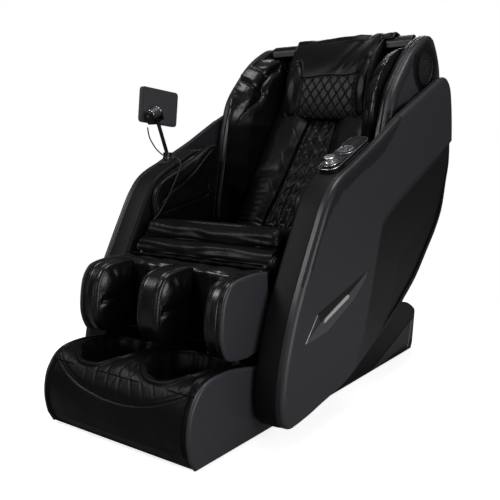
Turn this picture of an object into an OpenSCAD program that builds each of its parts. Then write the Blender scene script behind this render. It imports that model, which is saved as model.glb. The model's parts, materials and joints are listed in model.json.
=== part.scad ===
// Zero-gravity massage chair. Millimetres, +Z up, floor at Z = 0.
// The chair faces -Y, the sitter's left is +X. X = 0 is the middle plane and
// the origin lies on the floor under the middle of the chair's length.
// Base on the floor -> carriage that glides forward -> tilting seat body ->
// reclining back, lifting leg rest -> sliding foot box.

/* [Overall] */
// Half of the width over the two side panels
half_w = 390; // [386:1:392]
// Depth of each side panel, from its outer face inwards
panel_d = 28; // [24:1:28]
// Half of the clear width between the arm boxes at the feet
arm_in = 290; // [290:1:296]
// Wall thickness of the moulded plastic shells
wall = 4; // [3:0.5:5]

/* [Base] */
// Half of the width of the base cover
base_half = 286; // [280:1:286]
// Radius of the two glide bars
bar_r = 10; // [8:1:11]
// Radius of the transport wheels
wheel_r = 27; // [24:1:28]

/* [Seat] */
// Half of the width of the seat cushion
seat_half = 250; // [240:1:250]
// Thickness of the soft pad on each arm's inner side
arm_pad_t = 25; // [18:1:26]

/* [Back] */
// Half of the width of the back cushion
back_half = 232; // [220:1:233]
// Thickness of the back cushion
back_pad_t = 50; // [40:1:50]
// Half of the width over the wings
wing_half = 352; // [344:1:354]
// Half of the width of the head pillow
pillow_half = 185; // [160:1:200]

/* [Leg rest] */
// Half of the width over the leg rest's side plates
calf_half = 270; // [266:1:272]
// Half of the width of the middle calf pad
mid_pad_half = 42; // [36:1:50]
// Inner face of each outer calf pad
side_pad_in = 200; // [190:1:206]
// Radius of the leg rest's pivot shaft
leg_shaft_r = 10; // [8:1:11]

/* [Foot box] */
// Half of the width of the foot box
foot_half = 276; // [270:1:278]
// Inner face of each foot well
well_in = 34; // [28:1:40]
// Outer face of each foot well
well_out = 226; // [210:1:230]
// Radius of the foot rollers
sole_r = 18; // [14:1:18]

/* [Controls] */
// Radius of the dial knob
dial_r = 19; // [16:1:20]
// Radius of the ring of keys
key_ring_r = 20; // [19:1:21]
// Tablet width
tablet_w = 165; // [150:5:180]
// Tablet height
tablet_h = 120; // [110:5:130]

/* [Hidden] */
// The outlines below are drawn with Y = 0 a little in front of the middle of
// the chair's length; middle() moves every part by this much.
mid_y = 29.527;
$fn = 48;
fit = 0.05;                         // radial running clearance of a shaft
panel_in = half_w - panel_d;        // inner face of the side panels

// pivots, (Y, Z)
tilt_pivot = [-40, 200];
recline_pivot = [120, 450];
leg_pivot = [-335, 475];
pillow_hinge = [489, 1194];

// radii of the pins and rods that run in bores of another part
tilt_pin_r = 12;
recline_pin_r = 10;
hinge_rod_r = 3;                    // of the head pillow
drive_rod_r = 8;                    // of the three actuators
drive_pin_r = 6;                    // at the ends of the actuators
drive_seat_r = 16;                  // hanger bores of the drive tubes

// actuators: axes of the two level ones (X, Z), pins (Y, Z)
recline_drive = [110, 329];
recline_crank = [150, 330];
leg_drive = [-60, 424];
leg_crank = [-296.4, 429];
tilt_foot = [-150, 104];
tilt_top = [-175, 300];

// rods of the foot box that slide in the leg rest, (X, Y)
foot_rod = [160, -372];
foot_rod_r = 8;

// colours that several parts share
soft_black = [0.05, 0.05, 0.055];
frame_grey = [0.14, 0.14, 0.15];
shell_grey = [0.17, 0.17, 0.19];
motor_grey = [0.22, 0.22, 0.24];
mid_grey = [0.30, 0.31, 0.33];
rod_steel = [0.72, 0.73, 0.75];

// ---- curves -------------------------------------------------------------
// Catmull-Rom spline between b and c, t from 0 to 1
function spline(a, b, c, d, t) = 0.5 * (2*b + (c - a)*t
    + (2*a - 5*b + 4*c - d)*t*t + (3*b - a - 3*c + d)*t*t*t);
// smooth open curve through the points, so many steps a span
function curve(pts, steps = 4) = concat(
    [for (i = [0 : len(pts) - 2]) for (k = [0 : steps - 1])
        spline(pts[max(i - 1, 0)], pts[i], pts[i + 1],
               pts[min(i + 2, len(pts) - 1)], k / steps)],
    [pts[len(pts) - 1]]);
function unit(v) = v / max(norm(v), 1e-9);
// vector turned to the right by 90 degrees
function right_of(v) = [v[1], -v[0]];
// closed outline moved inwards by dist; outlines run clockwise in (Y, Z)
function inset(pts, dist) = [for (i = [0 : len(pts) - 1])
    let (before = pts[(i + len(pts) - 1) % len(pts)],
         after = pts[(i + 1) % len(pts)],
         dir_in = unit(pts[i] - before),
         dir_out = unit(after - pts[i]),
         normal = unit(right_of(dir_in + dir_out)),
         mitre = max(0.5, normal * right_of(dir_in)))
    pts[i] + normal * dist / mitre];
// open curve moved sideways by dist, to the right of its direction
function aside(pts, dist) = [for (i = [0 : len(pts) - 1])
    let (dir = unit(pts[min(i + 1, len(pts) - 1)] - pts[max(i - 1, 0)]))
    pts[i] + right_of(dir) * dist];
function reversed(pts) = [for (i = [len(pts) - 1 : -1 : 0]) pts[i]];
function part(pts, first, last) = [for (i = [first : last]) pts[i]];

// ---- shared shapes ------------------------------------------------------
// (Y, Z) outline swept along X from x0 to x1, in either order
module prism_x(x0, x1, outline)
    translate([min(x0, x1), 0, 0]) rotate([90, 0, 90])
        linear_extrude(height = abs(x1 - x0)) polygon(outline);
module box(x0, x1, y0, y1, z0, z1)
    translate([x0, y0, z0]) cube([x1 - x0, y1 - y0, z1 - z0]);
// cylinder along X, centre (Y, Z), x0 and x1 in either order
module cyl_x(x0, x1, centre, r)
    translate([min(x0, x1), centre[0], centre[1]]) rotate([0, 90, 0])
        cylinder(r = r, h = abs(x1 - x0));
// cylinder along Y, centre (X, Z)
module cyl_y(y0, y1, centre, r)
    translate([centre[0], y0, centre[1]]) rotate([-90, 0, 0])
        cylinder(r = r, h = y1 - y0);
// cylinder along Z, centre (X, Y)
module cyl_z(z0, z1, centre, r)
    translate([centre[0], centre[1], z0]) cylinder(r = r, h = z1 - z0);
// square tube along Y or along X, open at its ends
tube_wall = 2.5;
module tube_y(x0, x1, y0, y1, z0, z1) difference() {
    box(x0, x1, y0, y1, z0, z1);
    box(x0 + tube_wall, x1 - tube_wall, y0 - 1, y1 + 1,
        z0 + tube_wall, z1 - tube_wall);
}
module tube_x(x0, x1, y0, y1, z0, z1) difference() {
    box(x0, x1, y0, y1, z0, z1);
    box(x0 - 1, x1 + 1, y0 + tube_wall, y1 - tube_wall,
        z0 + tube_wall, z1 - tube_wall);
}
// children on the left side and mirrored on the right
module both() {
    children();
    mirror([1, 0, 0]) children();
}
// flat link plate from a to b in the (Y, Z) plane, with round ends
module link(x0, x1, a, b, half_width) {
    side = -right_of(unit(b - a)) * half_width;
    prism_x(x0, x1, [a + side, b + side, b - side, a - side]);
    cyl_x(x0, x1, a, half_width);
    cyl_x(x0, x1, b, half_width);
}
// upright slot cut along X, its round ends centred on z0 and z1
module slot(x0, x1, y, z0, z1, r) {
    for (z = [z0, z1]) cyl_x(x0, x1, [y, z], r);
    box(x0, x1, y - r, y + r, z0, z1);
}
// plate lying on Z = 0 with rounded corners
module slab(width, length, corner_r, height)
    linear_extrude(height = height) {
        square([width - 2*corner_r, length], center = true);
        square([width, length - 2*corner_r], center = true);
        for (x = [-1, 1], y = [-1, 1])
            translate([x * (width/2 - corner_r), y * (length/2 - corner_r)])
                circle(r = corner_r);
    }

// ---- outlines in the side view, (Y, Z) ----------------------------------
// front and upper edge of the arms, from the floor backwards
arm_line = curve([[-452, 56], [-474, 82], [-481, 140], [-470, 215],
    [-445, 300], [-410, 385], [-362, 475], [-312, 565], [-262, 648],
    [-205, 703], [-95, 752], [25, 805], [110, 848], [188, 888]]);
panel_outline = concat(arm_line,
    curve([[264, 922], [387, 974], [510, 1026], [572, 1050], [612, 1048],
           [640, 985], [661, 855], [664, 740], [642, 664], [611, 566],
           [557, 493], [484, 425], [381, 335], [280, 272], [248, 250],
           [150, 207], [37, 165], [-112, 111], [-199, 91], [-336, 73]]));
// the arm box ends behind on a line that stays clear of the reclining back
arm_outline = concat(part(arm_line, 0, len(arm_line) - 4),
    curve([[92, 790], [62, 700], [36, 600], [12, 480], [-10, 330],
           [-30, 200]]),
    [[-60, 128], [-199, 93], [-336, 75]]);
blade_outline = [[-390, 271], [-320, 347], [-12, 426], [-25, 403],
                 [-108, 345], [-262, 282]];

// front face of the back cushion, from the seat to the hood
back_line = curve([[100, 480], [168, 585], [235, 690], [302, 795],
    [368, 890], [412, 960], [446, 1035], [466, 1100], [472, 1132]]);
// rear edge that the back shell and the wings share, upwards
rear_points = [[292, 366], [355, 470], [420, 571], [488, 676],
    [555, 781], [597, 900], [614, 1010], [606, 1070]];
back_rear = curve(concat(rear_points, [[577, 1122], [535, 1168],
    [505, 1184]]));
wing_outline = concat(
    curve(concat([[118, 520], [128, 620], [160, 760], [196, 893],
                  [228, 972], [300, 1053], [370, 1116], [450, 1163],
                  [498, 1182], [535, 1170], [577, 1123]],
                 reversed(rear_points))),
    [[240, 380], [180, 420], [138, 462]]);
calf_outline = concat(
    curve([[-480, 238], [-545, 246], [-572, 266], [-587, 318],
           [-579, 392], [-561, 432], [-531, 453], [-452, 462],
           [-384, 459]]),
    [[-376, 380], [-380, 250]]);
foot_outline = concat(
    [[-698, 8]],
    curve([[-716, 40], [-724, 84], [-722, 128], [-708, 171], [-674, 211],
           [-623, 227], [-540, 226], [-438, 206], [-378, 180],
           [-352, 130]]),
    [[-348, 8]]);
base_outline = concat([[-240, 8], [-236, 60], [-170, 112]],
    curve([[-60, 140], [100, 152], [250, 184], [330, 204], [411, 217],
           [480, 213], [540, 200], [604, 167], [615, 148]]),
    [[600, 30], [588, 8]]);

// =========================================================================
// BASE
// =========================================================================
rail_in = 222;                      // side tubes, inner and outer face
rail_out = 252;
base_front = -226;
base_rear = 566;
base_low = 24;                      // lower and upper face of the tubes
base_top = 62;
glide_bar = [150, 84];              // axis of the left glide bar, (X, Z)
wheel_centre = [536, 43];           // (Y, Z)
wheel_axle_r = 8;

module base_frame() color([0.10, 0.10, 0.11]) {
    both() tube_y(rail_in, rail_out, base_front, base_rear, base_low, base_top);
    // cross tubes, front to rear
    for (y = [[base_front, -190], [112, 148], [530, base_rear]])
        tube_x(-rail_in, rail_in, y[0], y[1], base_low, base_top);
    both() {
        // glide bar and its two end brackets
        cyl_y(base_front, 146, glide_bar, bar_r);
        difference() {
            union() {
                box(132, 168, base_front, -218, base_top, 100);
                box(132, 168, 138, 148, base_top, 100);
            }
            cyl_y(-236, 160, glide_bar, bar_r - 0.5);
        }
        // stub axle of the transport wheel
        cyl_x(251, 279, wheel_centre, wheel_axle_r);
    }
}

module base_cover() color([0.11, 0.11, 0.12])
    difference() {
        prism_x(-base_half, base_half, base_outline);
        // hollow, open below and open above the glide carriage
        prism_x(-base_half + wall, base_half - wall, concat(
            [[-250, -10], [-232, 4], [-230, 60], [-166, 106]],
            part(inset(base_outline, wall), 3, len(base_outline) - 1),
            [[584, -10]]));
        box(-214, 214, -245, 132, 50, 230);
        // power inlet window in the rear wall
        inlet_place() cube([62.4, 60, 32.4], center = true);
    }

// local frame of the power inlet, square to the sloping rear wall
module inlet_place() translate([150, 600, 84])
    rotate([-atan2(15, 118), 0, 0]) children();

module base_light_bars() color([0.75, 0.76, 0.78])
    both() prism_x(base_half, base_half + 2.5,
                   [[548, 22], [556, 22], [586, 120], [580, 120]]);

module levelling_feet() color([0.05, 0.05, 0.05])
    for (x = [-237, 237], y = [-200, 400])
        // each step: lower face, upper face, radius
        for (step = [[0, 9, 26], [9, 15, 17], [15, 24, 9]])
            cyl_z(step[0], step[1], [x, y], step[2]);

module power_supply() color([0.62, 0.63, 0.65]) {
    difference() {
        box(-210, -60, 180, 330, 66, 128);
        // vents that stop short of the case front
        for (i = [0 : 6]) box(-196 + i*19, -188 + i*19, 170, 176, 80, 114);
        box(-206, -64, 184, 326, 70, 124);
    }
    box(-190, -80, 200, 310, 71, 108);          // transformer block inside
}

module control_unit() color([0.10, 0.16, 0.12]) {
    difference() {                               // open tray
        box(-40, 210, 170, 360, 66, 110);
        box(-37, 207, 173, 357, 69, 120);
    }
    box(-30, 200, 180, 350, 78, 80);             // circuit board
    // posts under the board's corners
    for (x = [-26, 196], y = [184, 346]) cyl_z(69, 78, [x, y], 3);
    // blocks and round parts on the board
    for (i = [0 : 4]) box(-20 + i*42, 8 + i*42, 200, 224, 80, 98);
    for (i = [0 : 2]) cyl_z(80, 108, [10 + i*60, 290], 13);
}

module air_pump() color([0.20, 0.20, 0.22]) {
    box(-190, -20, 400, 510, 66, 76);
    for (x = [-150, -60]) {
        cyl_z(76, 138, [x, 455], 36);
        cyl_z(138, 148, [x, 455], 27);
    }
    cyl_y(510, 524, [-105, 95], 8);              // air outlet
    box(-122, -88, 430, 510, 76, 118);
}

switch_pin_r = 1.5;
module power_inlet() color([0.07, 0.07, 0.08])
    inlet_place() difference() {
        union() {
            box(-31, 31, -18, 8, -16, 16);
            box(-35, 35, 7.4, 10.4, -20, 20);
        }
        box(-27, -1, -6, 14, -11, 11);           // plug socket
        box(7, 24, -13, 17, -10.5, 10.5);        // switch window
        cyl_x(4, 27, [0, 0], switch_pin_r + fit);
    }

module mains_switch() color([0.35, 0.05, 0.05])
    inlet_place() {
        box(8, 23, -2, 2, -8.5, 8.5);
        cyl_x(8, 23, [0, 0], 5.5);
        // rocker face
        prism_x(8, 23, [[0, -8.5], [9.6, -8.5], [8.4, 0], [10.2, 8.5],
                        [0, 8.5]]);
        cyl_x(4.5, 26.5, [0, 0], switch_pin_r);
    }

module transport_wheel(side) color([0.06, 0.06, 0.06])
    translate([side * 254, wheel_centre[0], wheel_centre[1]])
        rotate([0, side * 90, 0]) difference() {
            // (radius, distance along the axle)
            rotate_extrude($fn = 64)
                polygon([[wheel_axle_r + fit, 0], [14, 0], [14, 3],
                         [wheel_r - 6, 3], [wheel_r - 4, 1],
                         [wheel_r - 1, 2], [wheel_r, 6],
                         [wheel_r, 14], [wheel_r - 1, 18],
                         [wheel_r - 4, 19], [wheel_r - 6, 17],
                         [14, 17], [14, 20], [wheel_axle_r + fit, 20]]);
            for (a = [0 : 60 : 300]) rotate([0, 0, a])
                translate([17.6, 0, -1]) cylinder(r = 2.4, h = 22);
        }
module transport_wheel_left() transport_wheel(1);
module transport_wheel_right() transport_wheel(-1);

// =========================================================================
// GLIDE CARRIAGE AND TILT DRIVE
// =========================================================================
// side plate of the carriage up to the tilt pivot, with its pin
module tilt_bearing() {
    difference() {
        union() {
            prism_x(200, 208, [[-104, 110], [-62, 200], [-18, 200],
                               [96, 110]]);
            cyl_x(200, 208, tilt_pivot, 24);
        }
        prism_x(199, 209, [[-60, 128], [-44, 164], [-30, 164], [40, 128]]);
    }
    cyl_x(200, 224, tilt_pivot, tilt_pin_r);
    cyl_x(220, 224, tilt_pivot, 17);
}

module glide_frame() color([0.13, 0.13, 0.14]) {
    difference() {
        union() {
            // slide blocks round the glide bars
            both() for (y = [-104, 56]) box(132, 168, y, y + 40, 66, 102);
            difference() {
                box(-208, 208, -104, 96, 102, 110);
                box(-60, 60, -84, 76, 100, 112);
            }
        }
        both() cyl_y(-120, 110, glide_bar, bar_r + fit);
    }
    both() tilt_bearing();
    // front fork of the tilt actuator
    both() link(12, 18, [-100, tilt_foot[1]], tilt_foot, 9);
    cyl_x(-18, 18, tilt_foot, drive_pin_r);
    box(-60, 60, -100, -84, 102, 110);
}

// the tilt actuator's frame: Z runs from its foot pin to its top pin
tilt_length = norm(tilt_top - tilt_foot);
tilt_dir = unit(tilt_top - tilt_foot);
tilt_lean = atan2(-tilt_dir[0], tilt_dir[1]);    // forward from the vertical
module tilt_drive_place()
    translate([0, tilt_foot[0], tilt_foot[1]]) rotate([tilt_lean, 0, 0])
        children();

module tilt_actuator_motor() color(motor_grey) tilt_drive_place()
    difference() {
        union() {
            cyl_x(-10, 10, [0, 0], 12);
            box(-9, 9, -9, 9, 4, 18);
            cyl_z(15, 138, [0, 0], 17);          // drive tube
            box(-17, 49, -17, 17, 15, 37);       // gearbox
            cyl_z(36, 98, [34, 0], 15);          // motor
        }
        cyl_x(-20, 20, [0, 0], drive_pin_r + fit);
        cyl_z(24, 154, [0, 0], drive_rod_r + fit);
    }

module tilt_actuator_rod() color(rod_steel) tilt_drive_place()
    difference() {
        union() {
            cyl_z(40, 186, [0, 0], drive_rod_r);
            cyl_x(-6, 6, [0, tilt_length], 15);
        }
        cyl_x(-8, 8, [0, tilt_length], 8);
    }

// =========================================================================
// SEAT BODY
// =========================================================================
// plate down to the tilt pivot, with a strip that joins it to the side tube
module seat_tilt_plate() {
    difference() {
        union() {
            prism_x(210, 218, [[-150, 400], [-64, 194], [-16, 194],
                               [60, 400]]);
            cyl_x(210, 218, tilt_pivot, 26);
        }
        prism_x(209, 219, [[-112, 372], [-58, 240], [-22, 240], [32, 372]]);
        cyl_x(205, 222, tilt_pivot, tilt_pin_r + fit);
    }
    box(211, 223.5, -140, 50, 389, 411);
}

// lug of the leg rest's pivot shaft
module leg_shaft_lug() {
    difference() {
        union() {
            prism_x(253, 261, [[-240, 388], [-353, 475], [-324, 491],
                               [-180, 420], [-180, 388]]);
            cyl_x(253, 261, leg_pivot, 18);
        }
        cyl_x(250, 265, leg_pivot, leg_shaft_r + fit);
    }
    box(248, 254, -238, -190, 392, 416);
}

// recline pivot plate with its pin
module recline_bearing() {
    prism_x(262, 268, [[20, 390], [96, 430], [98, 462], [112, 474],
                       [132, 472], [144, 456], [142, 436], [96, 390]]);
    box(248, 264, 28, 82, 394, 416);
    cyl_x(248, 267, recline_pivot, recline_pin_r);
}

// pan between the side tubes, behind the leg rest crank
module seat_pan() {
    difference() {
        box(-220.5, 220.5, -226, 60, 441, 445);
        for (x = [-150, 0, 150], y = [-170, -60, 20])
            cyl_z(438, 448, [x, y], 18);
    }
    both() for (y = [-220, 36]) box(217, 223.5, y, y + 24, 414, 443);
}

// fork that the tilt actuator pushes
module tilt_fork() {
    both() {
        prism_x(10, 16, [[-187, 300], [-185, 336], [-238, 358],
                         [-238, 378], [-164, 378], [-163, 300]]);
        cyl_x(10, 16, tilt_top, 12);
    }
    cyl_x(-15, 15, tilt_top, drive_pin_r);
}

// hangers of the recline and leg rest drive tubes
module drive_hangers() {
    difference() {
        box(88, 132, -259, -247, 308, 356);
        cyl_y(-270, -240, recline_drive, drive_seat_r);
    }
    difference() {
        union() {
            box(-82, -38, -236, -218, 380, 443);
            box(-82, -38, -60, -48, 404, 443);
        }
        cyl_y(-240, -40, leg_drive, drive_seat_r);
    }
}

module seat_frame() color(frame_grey) {
    both() {
        tube_y(222, 250, -290, 88, 386, 420);
        seat_tilt_plate();
        leg_shaft_lug();
        recline_bearing();
        box(206, 223, -258, -236, 360, 402);
    }
    tube_x(-224, 224, -262, -232, 352, 386);     // front cross tube
    tube_x(-224, 224, 62, 88, 390, 418);         // rear cross tube
    seat_pan();
    tilt_fork();
    drive_hangers();
}

// recline drive: motor and tube under the seat, rod with a slotted end that
// carries the crank pin of the back
module recline_actuator_motor() color(motor_grey)
    difference() {
        union() {
            cyl_y(-300, -20, recline_drive, drive_seat_r - fit);
            box(94, 176, -238, -214, 312, 346);
            cyl_y(-214, -120, [158, recline_drive[1]], 17);
        }
        cyl_y(-294, 0, recline_drive, drive_rod_r + fit);
    }
module recline_actuator_rod() color(rod_steel) {
    x = recline_drive[0];
    cyl_y(-214, 130, recline_drive, drive_rod_r);
    difference() {
        box(x - 3, x + 3, 120, 166, 306, 354);
        slot(x - 5, x + 5, recline_crank[0], 322, 337, 7);
    }
}

// leg rest drive, same principle, pushing forward
module legrest_actuator_motor() color(motor_grey)
    difference() {
        union() {
            cyl_y(-232, -40, leg_drive, drive_seat_r - fit);
            box(-126, -44, -212, -188, 409, 439);
            cyl_y(-188, -96, [-108, leg_drive[1]], 15);
        }
        cyl_y(-240, -48, leg_drive, drive_rod_r + fit);
    }
module legrest_actuator_rod() color(rod_steel) {
    x = leg_drive[0];
    cyl_y(-268, -128, leg_drive, drive_rod_r);
    difference() {
        box(x - 3, x + 3, -309, -258, 402, 442);
        slot(x - 5, x + 5, leg_crank[0], 414, 430, 7.8);
    }
}

module seat_cushion() color(soft_black)
    prism_x(-seat_half, seat_half, concat(
        curve([[-318, 482], [-321, 505], [-319, 530], [-311, 549],
               [-288, 558], [-250, 557], [-190, 549], [-100, 531],
               [0, 512], [84, 493]]),
        [[62, 446], [-225, 447], [-268, 456], [-300, 468]]));

// for the paired parts, side is 1 on the left and -1 on the right
module side_panel(side) color(shell_grey)
    difference() {
        prism_x(side * panel_in, side * half_w, panel_outline);
        prism_x(side * (panel_in - 1), side * (half_w - wall),
                inset(panel_outline, wall));
        // shallow recess of the metal blades
        prism_x(side * (half_w - 3), side * (half_w + 1), blade_outline);
    }
module side_panel_left() side_panel(1);
module side_panel_right() side_panel(-1);

module accent_blades() color([0.70, 0.71, 0.73])
    both() {
        prism_x(half_w - 2.8, half_w - 0.6,
                [[-276, 310], [-268, 323], [-140, 368], [-131, 362],
                 [-139, 355]]);
        prism_x(half_w - 2.8, half_w - 1,
                [[-382, 275], [-320, 343], [-315.5, 341], [-376, 274]]);
    }

arm_gap = 2;                        // arm box inside the panel's edge
module armrest(side) color([0.06, 0.06, 0.065])
    difference() {
        prism_x(side * arm_in, side * panel_in, inset(arm_outline, arm_gap));
        prism_x(side * (arm_in + wall), side * (panel_in + 1),
                inset(arm_outline, arm_gap + wall));
    }
module armrest_left() armrest(1);
module armrest_right() armrest(-1);

module arm_pad(side) color(soft_black)
    prism_x(side * (arm_in - 1 - arm_pad_t), side * (arm_in - 1), concat(
        curve([[-258, 560], [-262, 600], [-244, 652], [-196, 693],
               [-92, 740], [20, 790], [74, 800]]),
        [[60, 720], [34, 610], [16, 520], [-60, 500], [-200, 510]]));
module arm_pad_left() arm_pad(1);
module arm_pad_right() arm_pad(-1);

// ---- control panel on the left arm --------------------------------------
arm_slope = 23.6;                   // of the arm's top under the panel
dial_y = -84;                       // in the panel's own frame
keys_y = 14;
spindle_r = 5;
module panel_place()
    translate([328, -68, 764.5]) rotate([arm_slope, 0, 0]) children();
module keys_place() panel_place() translate([0, keys_y, 12]) children();

module control_panel() color([0.12, 0.12, 0.13])
    panel_place() difference() {
        union() {
            slab(64, 236, 26, 14);
            translate([0, 0, 14]) slab(61, 233, 24.5, 2);
            cyl_z(16, 21, [0, dial_y], 24);
            cyl_z(21, 35, [0, dial_y], spindle_r);
        }
        // pocket of the key ring
        cyl_z(8, 28, [0, keys_y], key_ring_r + 8);
    }
module dial_knob() color([0.55, 0.56, 0.58])
    panel_place() translate([0, dial_y, 21.6]) difference() {
        union() {
            cylinder(r = dial_r, h = 15);
            cyl_z(15, 19, [0, 0], dial_r - 3);
        }
        cyl_z(-1, 13.6, [0, 0], spindle_r + fit);
        // grip grooves and the pointer dot
        for (a = [0 : 15 : 345]) rotate([0, 0, a])
            translate([dial_r, 0, 3]) cylinder(r = 0.9, h = 9, $fn = 16);
        cyl_z(17.6, 21.6, [0, -11], 1.6);
    }
// one key, a quarter of the ring, centred on the given direction
half_span = 43.5;                   // degrees, leaves a gap between keys
module ring_key(direction) color(mid_grey)
    keys_place() difference() {
        cylinder(r = key_ring_r + 7, h = 8);
        cyl_z(-1, 9, [0, 0], 11);
        rotate([0, 0, direction]) {
            rotate([0, 0, half_span]) box(-60, 60, 0, 60, -1, 9);
            rotate([0, 0, -half_span]) box(-60, 60, -60, 0, -1, 9);
        }
        rotate([0, 0, direction]) cyl_z(7, 10, [key_ring_r - 2, 0], 1.8);
    }
module key_centre() color([0.42, 0.43, 0.45])
    keys_place() {
        cylinder(r = 9.6, h = 8);
        cyl_z(8, 9, [0, 0], 7.6);
    }
module key_front() ring_key(-90);
module key_rear() ring_key(90);
module key_inner() ring_key(180);
module key_outer() ring_key(0);

// ---- tablet on the right arm --------------------------------------------
tablet_foot = [-345, -112, 745];                 // foot of the tablet arm
tablet_hub = [-345, -176, 905];                  // tilting hub
pole = tablet_hub - tablet_foot;
pole_lean = atan2(-pole[1], pole[2]);
foot_slope = 24;                                 // of the foot plate
foot_pin_r = 5;
hub_pin_r = 5;
module hub_place() translate(tablet_hub) rotate([pole_lean, 0, 0]) children();
// tablet frame: its plate stands upright, local Z points to +X
module tablet_place(depth)
    translate(tablet_hub) rotate([0, 0, -5]) translate([-34, 54, 24])
        rotate([-6, 0, 0]) rotate([90, 0, 90]) translate([0, 0, depth])
            children();

module tablet_mount() color(mid_grey)
    translate(tablet_foot) {
        rotate([foot_slope, 0, 0]) translate([-3, 0, 1.2])
            slab(46, 62, 14, 4.4);
        cyl_z(8.4, 13.2, [0, 0], 17);
        cyl_z(4, 10, [0, 0], 9);
        cyl_z(4, 24, [0, 0], foot_pin_r);
        // screw heads
        rotate([foot_slope, 0, 0]) for (y = [-23, 23])
            cyl_z(4, 6, [-3, y], 3.4);
    }
module tablet_arm() color([0.13, 0.13, 0.14])
    difference() {
        union() {
            translate(tablet_foot) {
                cyl_z(13.6, 28.6, [0, 0], 15);
                translate([0, 0, 20]) rotate([pole_lean, 0, 0])
                    cylinder(r = 6.5, h = norm(pole) - 38);
            }
            // fork round the hub
            hub_place() {
                box(-14, 14, -27, 27, -30, -23);
                for (y = [-27, 21]) {
                    box(-14, 14, y, y + 6, -30, 0);
                    cyl_y(y, y + 6, [0, 0], 14);
                }
            }
        }
        translate(tablet_foot) cyl_z(-1, 24.6, [0, 0], foot_pin_r + fit);
        hub_place() cyl_y(-40, 40, [0, 0], hub_pin_r + fit);
    }
module tablet_housing() color(frame_grey) {
    difference() {
        union() {
            // back shell of the tablet
            tablet_place(-9) slab(tablet_w, tablet_h, 12, 13);
            tablet_place(4) slab(tablet_w - 14, tablet_h - 14, 9, 2);
            // neck from the shell to the hub
            hub_place() box(-35, 0, -10, 10, -9, 9);
        }
        tablet_place(-10) slab(tablet_w - 9, tablet_h - 9, 8, 6);
    }
    hub_place() {
        cyl_y(-20, 20, [0, 0], 18);
        cyl_y(-31, 31, [0, 0], hub_pin_r);
    }
}
module tablet_screen() color([0.03, 0.03, 0.035])
    tablet_place(-9) slab(tablet_w - 9.6, tablet_h - 9.6, 7.6, 4.8);

// cable from the arm's foot down the inner side of the right arm, (X, Y, Z)
cable_path = curve([[-306, -118, 748], [-284, -128, 752], [-258, -140, 735],
    [-255, -160, 700], [-254, -200, 640], [-254, -245, 585],
    [-262, -290, 540], [-269, -300, 490], [-266, -272, 440]], 3);
module tablet_cable() color([0.04, 0.04, 0.04])
    for (i = [0 : len(cable_path) - 2]) {
        start = cable_path[i];
        run = cable_path[i + 1] - start;
        // each piece reaches 1 mm past both of its ends
        translate(start - unit(run))
            rotate([0, acos(run[2] / norm(run)), atan2(run[1], run[0])])
                cylinder(r = 2.6, h = norm(run) + 2, $fn = 10);
    }

// =========================================================================
// BACK
// =========================================================================
// straight line of the massage rails: start, direction, direction rearwards
rail_start = [100, 480];
rail_dir = unit([302, 795] - [168, 585]);
rail_normal = right_of(rail_dir);
function rail_point(along, depth) =
    rail_start + rail_dir*along + rail_normal*depth;
// rectangle from s0 to s1 along the rails and from d0 to d1 in depth
function rail_rect(s0, s1, d0, d1) = [rail_point(s0, d0), rail_point(s1, d0),
    rail_point(s1, d1), rail_point(s0, d1)];
// strip between two depths behind the back cushion's face, up to point 25
function back_band(d0, d1) = concat(part(aside(back_line, d0), 0, 25),
    reversed(part(aside(back_line, d1), 0, 25)));

// lug at the recline pivot
module recline_lug() difference() {
    union() {
        link(252, 260, recline_pivot, [214, 440], 18);
        prism_x(246, 252.5, [[196, 424], [214, 404], [262, 478],
                             [246, 492]]);
    }
    cyl_x(240, 264, recline_pivot, recline_pin_r + fit);
}

module back_frame() color(frame_grey) {
    both() {
        difference() {                           // side tubes
            prism_x(228, 246, back_band(112, 140));
            prism_x(228 + tube_wall, 246 - tube_wall,
                    back_band(112 + tube_wall, 140 - tube_wall));
        }
        recline_lug();
        // straight channel of the massage carriage
        difference() {
            prism_x(64, 84, rail_rect(-8, 524, 62, 84));
            prism_x(60, 80, rail_rect(-12, 530, 66, 80));
        }
    }
    // cross tubes behind the channels, at these points of the back line
    for (i = [2, 11, 19]) {
        centre = aside(back_line, 126)[i];
        depth = (centre - rail_start) * rail_normal;
        cyl_x(-230, 230, centre, 12);
        both() link(66, 82, centre - rail_normal * (depth - 90), centre, 8);
    }
    // crank of the recline drive
    for (x = [100, 115]) link(x, x + 5, recline_crank, [234, 462], 12);
    cyl_x(100, 120, recline_crank, drive_pin_r);
}

module back_shell() color([0.08, 0.08, 0.085]) {
    prism_x(-298, 298, concat(back_rear,
        [[480, 1184], [467, 1172], [467, 1140], [472, 1140], [473, 1166],
         [484, 1178]],
        reversed(aside(back_rear, -5))));
    // clips of the pillow's hinge rod
    both() difference() {
        box(188, 194, 480, 498, 1182, 1200);
        cyl_x(180, 200, pillow_hinge, hinge_rod_r + fit);
    }
}

// oval about the speaker's centre, half axes a and b
speaker_centre = [470, 1068];
speaker_turn = 22;
function speaker_oval(a, b) = [for (i = [0 : 47])
    let (t = -360 * i / 48, x = a * cos(t), y = b * sin(t))
    speaker_centre + [x * cos(speaker_turn) - y * sin(speaker_turn),
                      x * sin(speaker_turn) + y * cos(speaker_turn)]];

module wing(side) color([0.10, 0.10, 0.11])
    difference() {
        prism_x(side * 300, side * wing_half, wing_outline);
        prism_x(side * 299, side * (wing_half - wall),
                inset(wing_outline, 10));
        prism_x(side * 330, side * (wing_half + 1), speaker_oval(79, 68));
    }
module wing_left() wing(1);
module wing_right() wing(-1);

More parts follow.
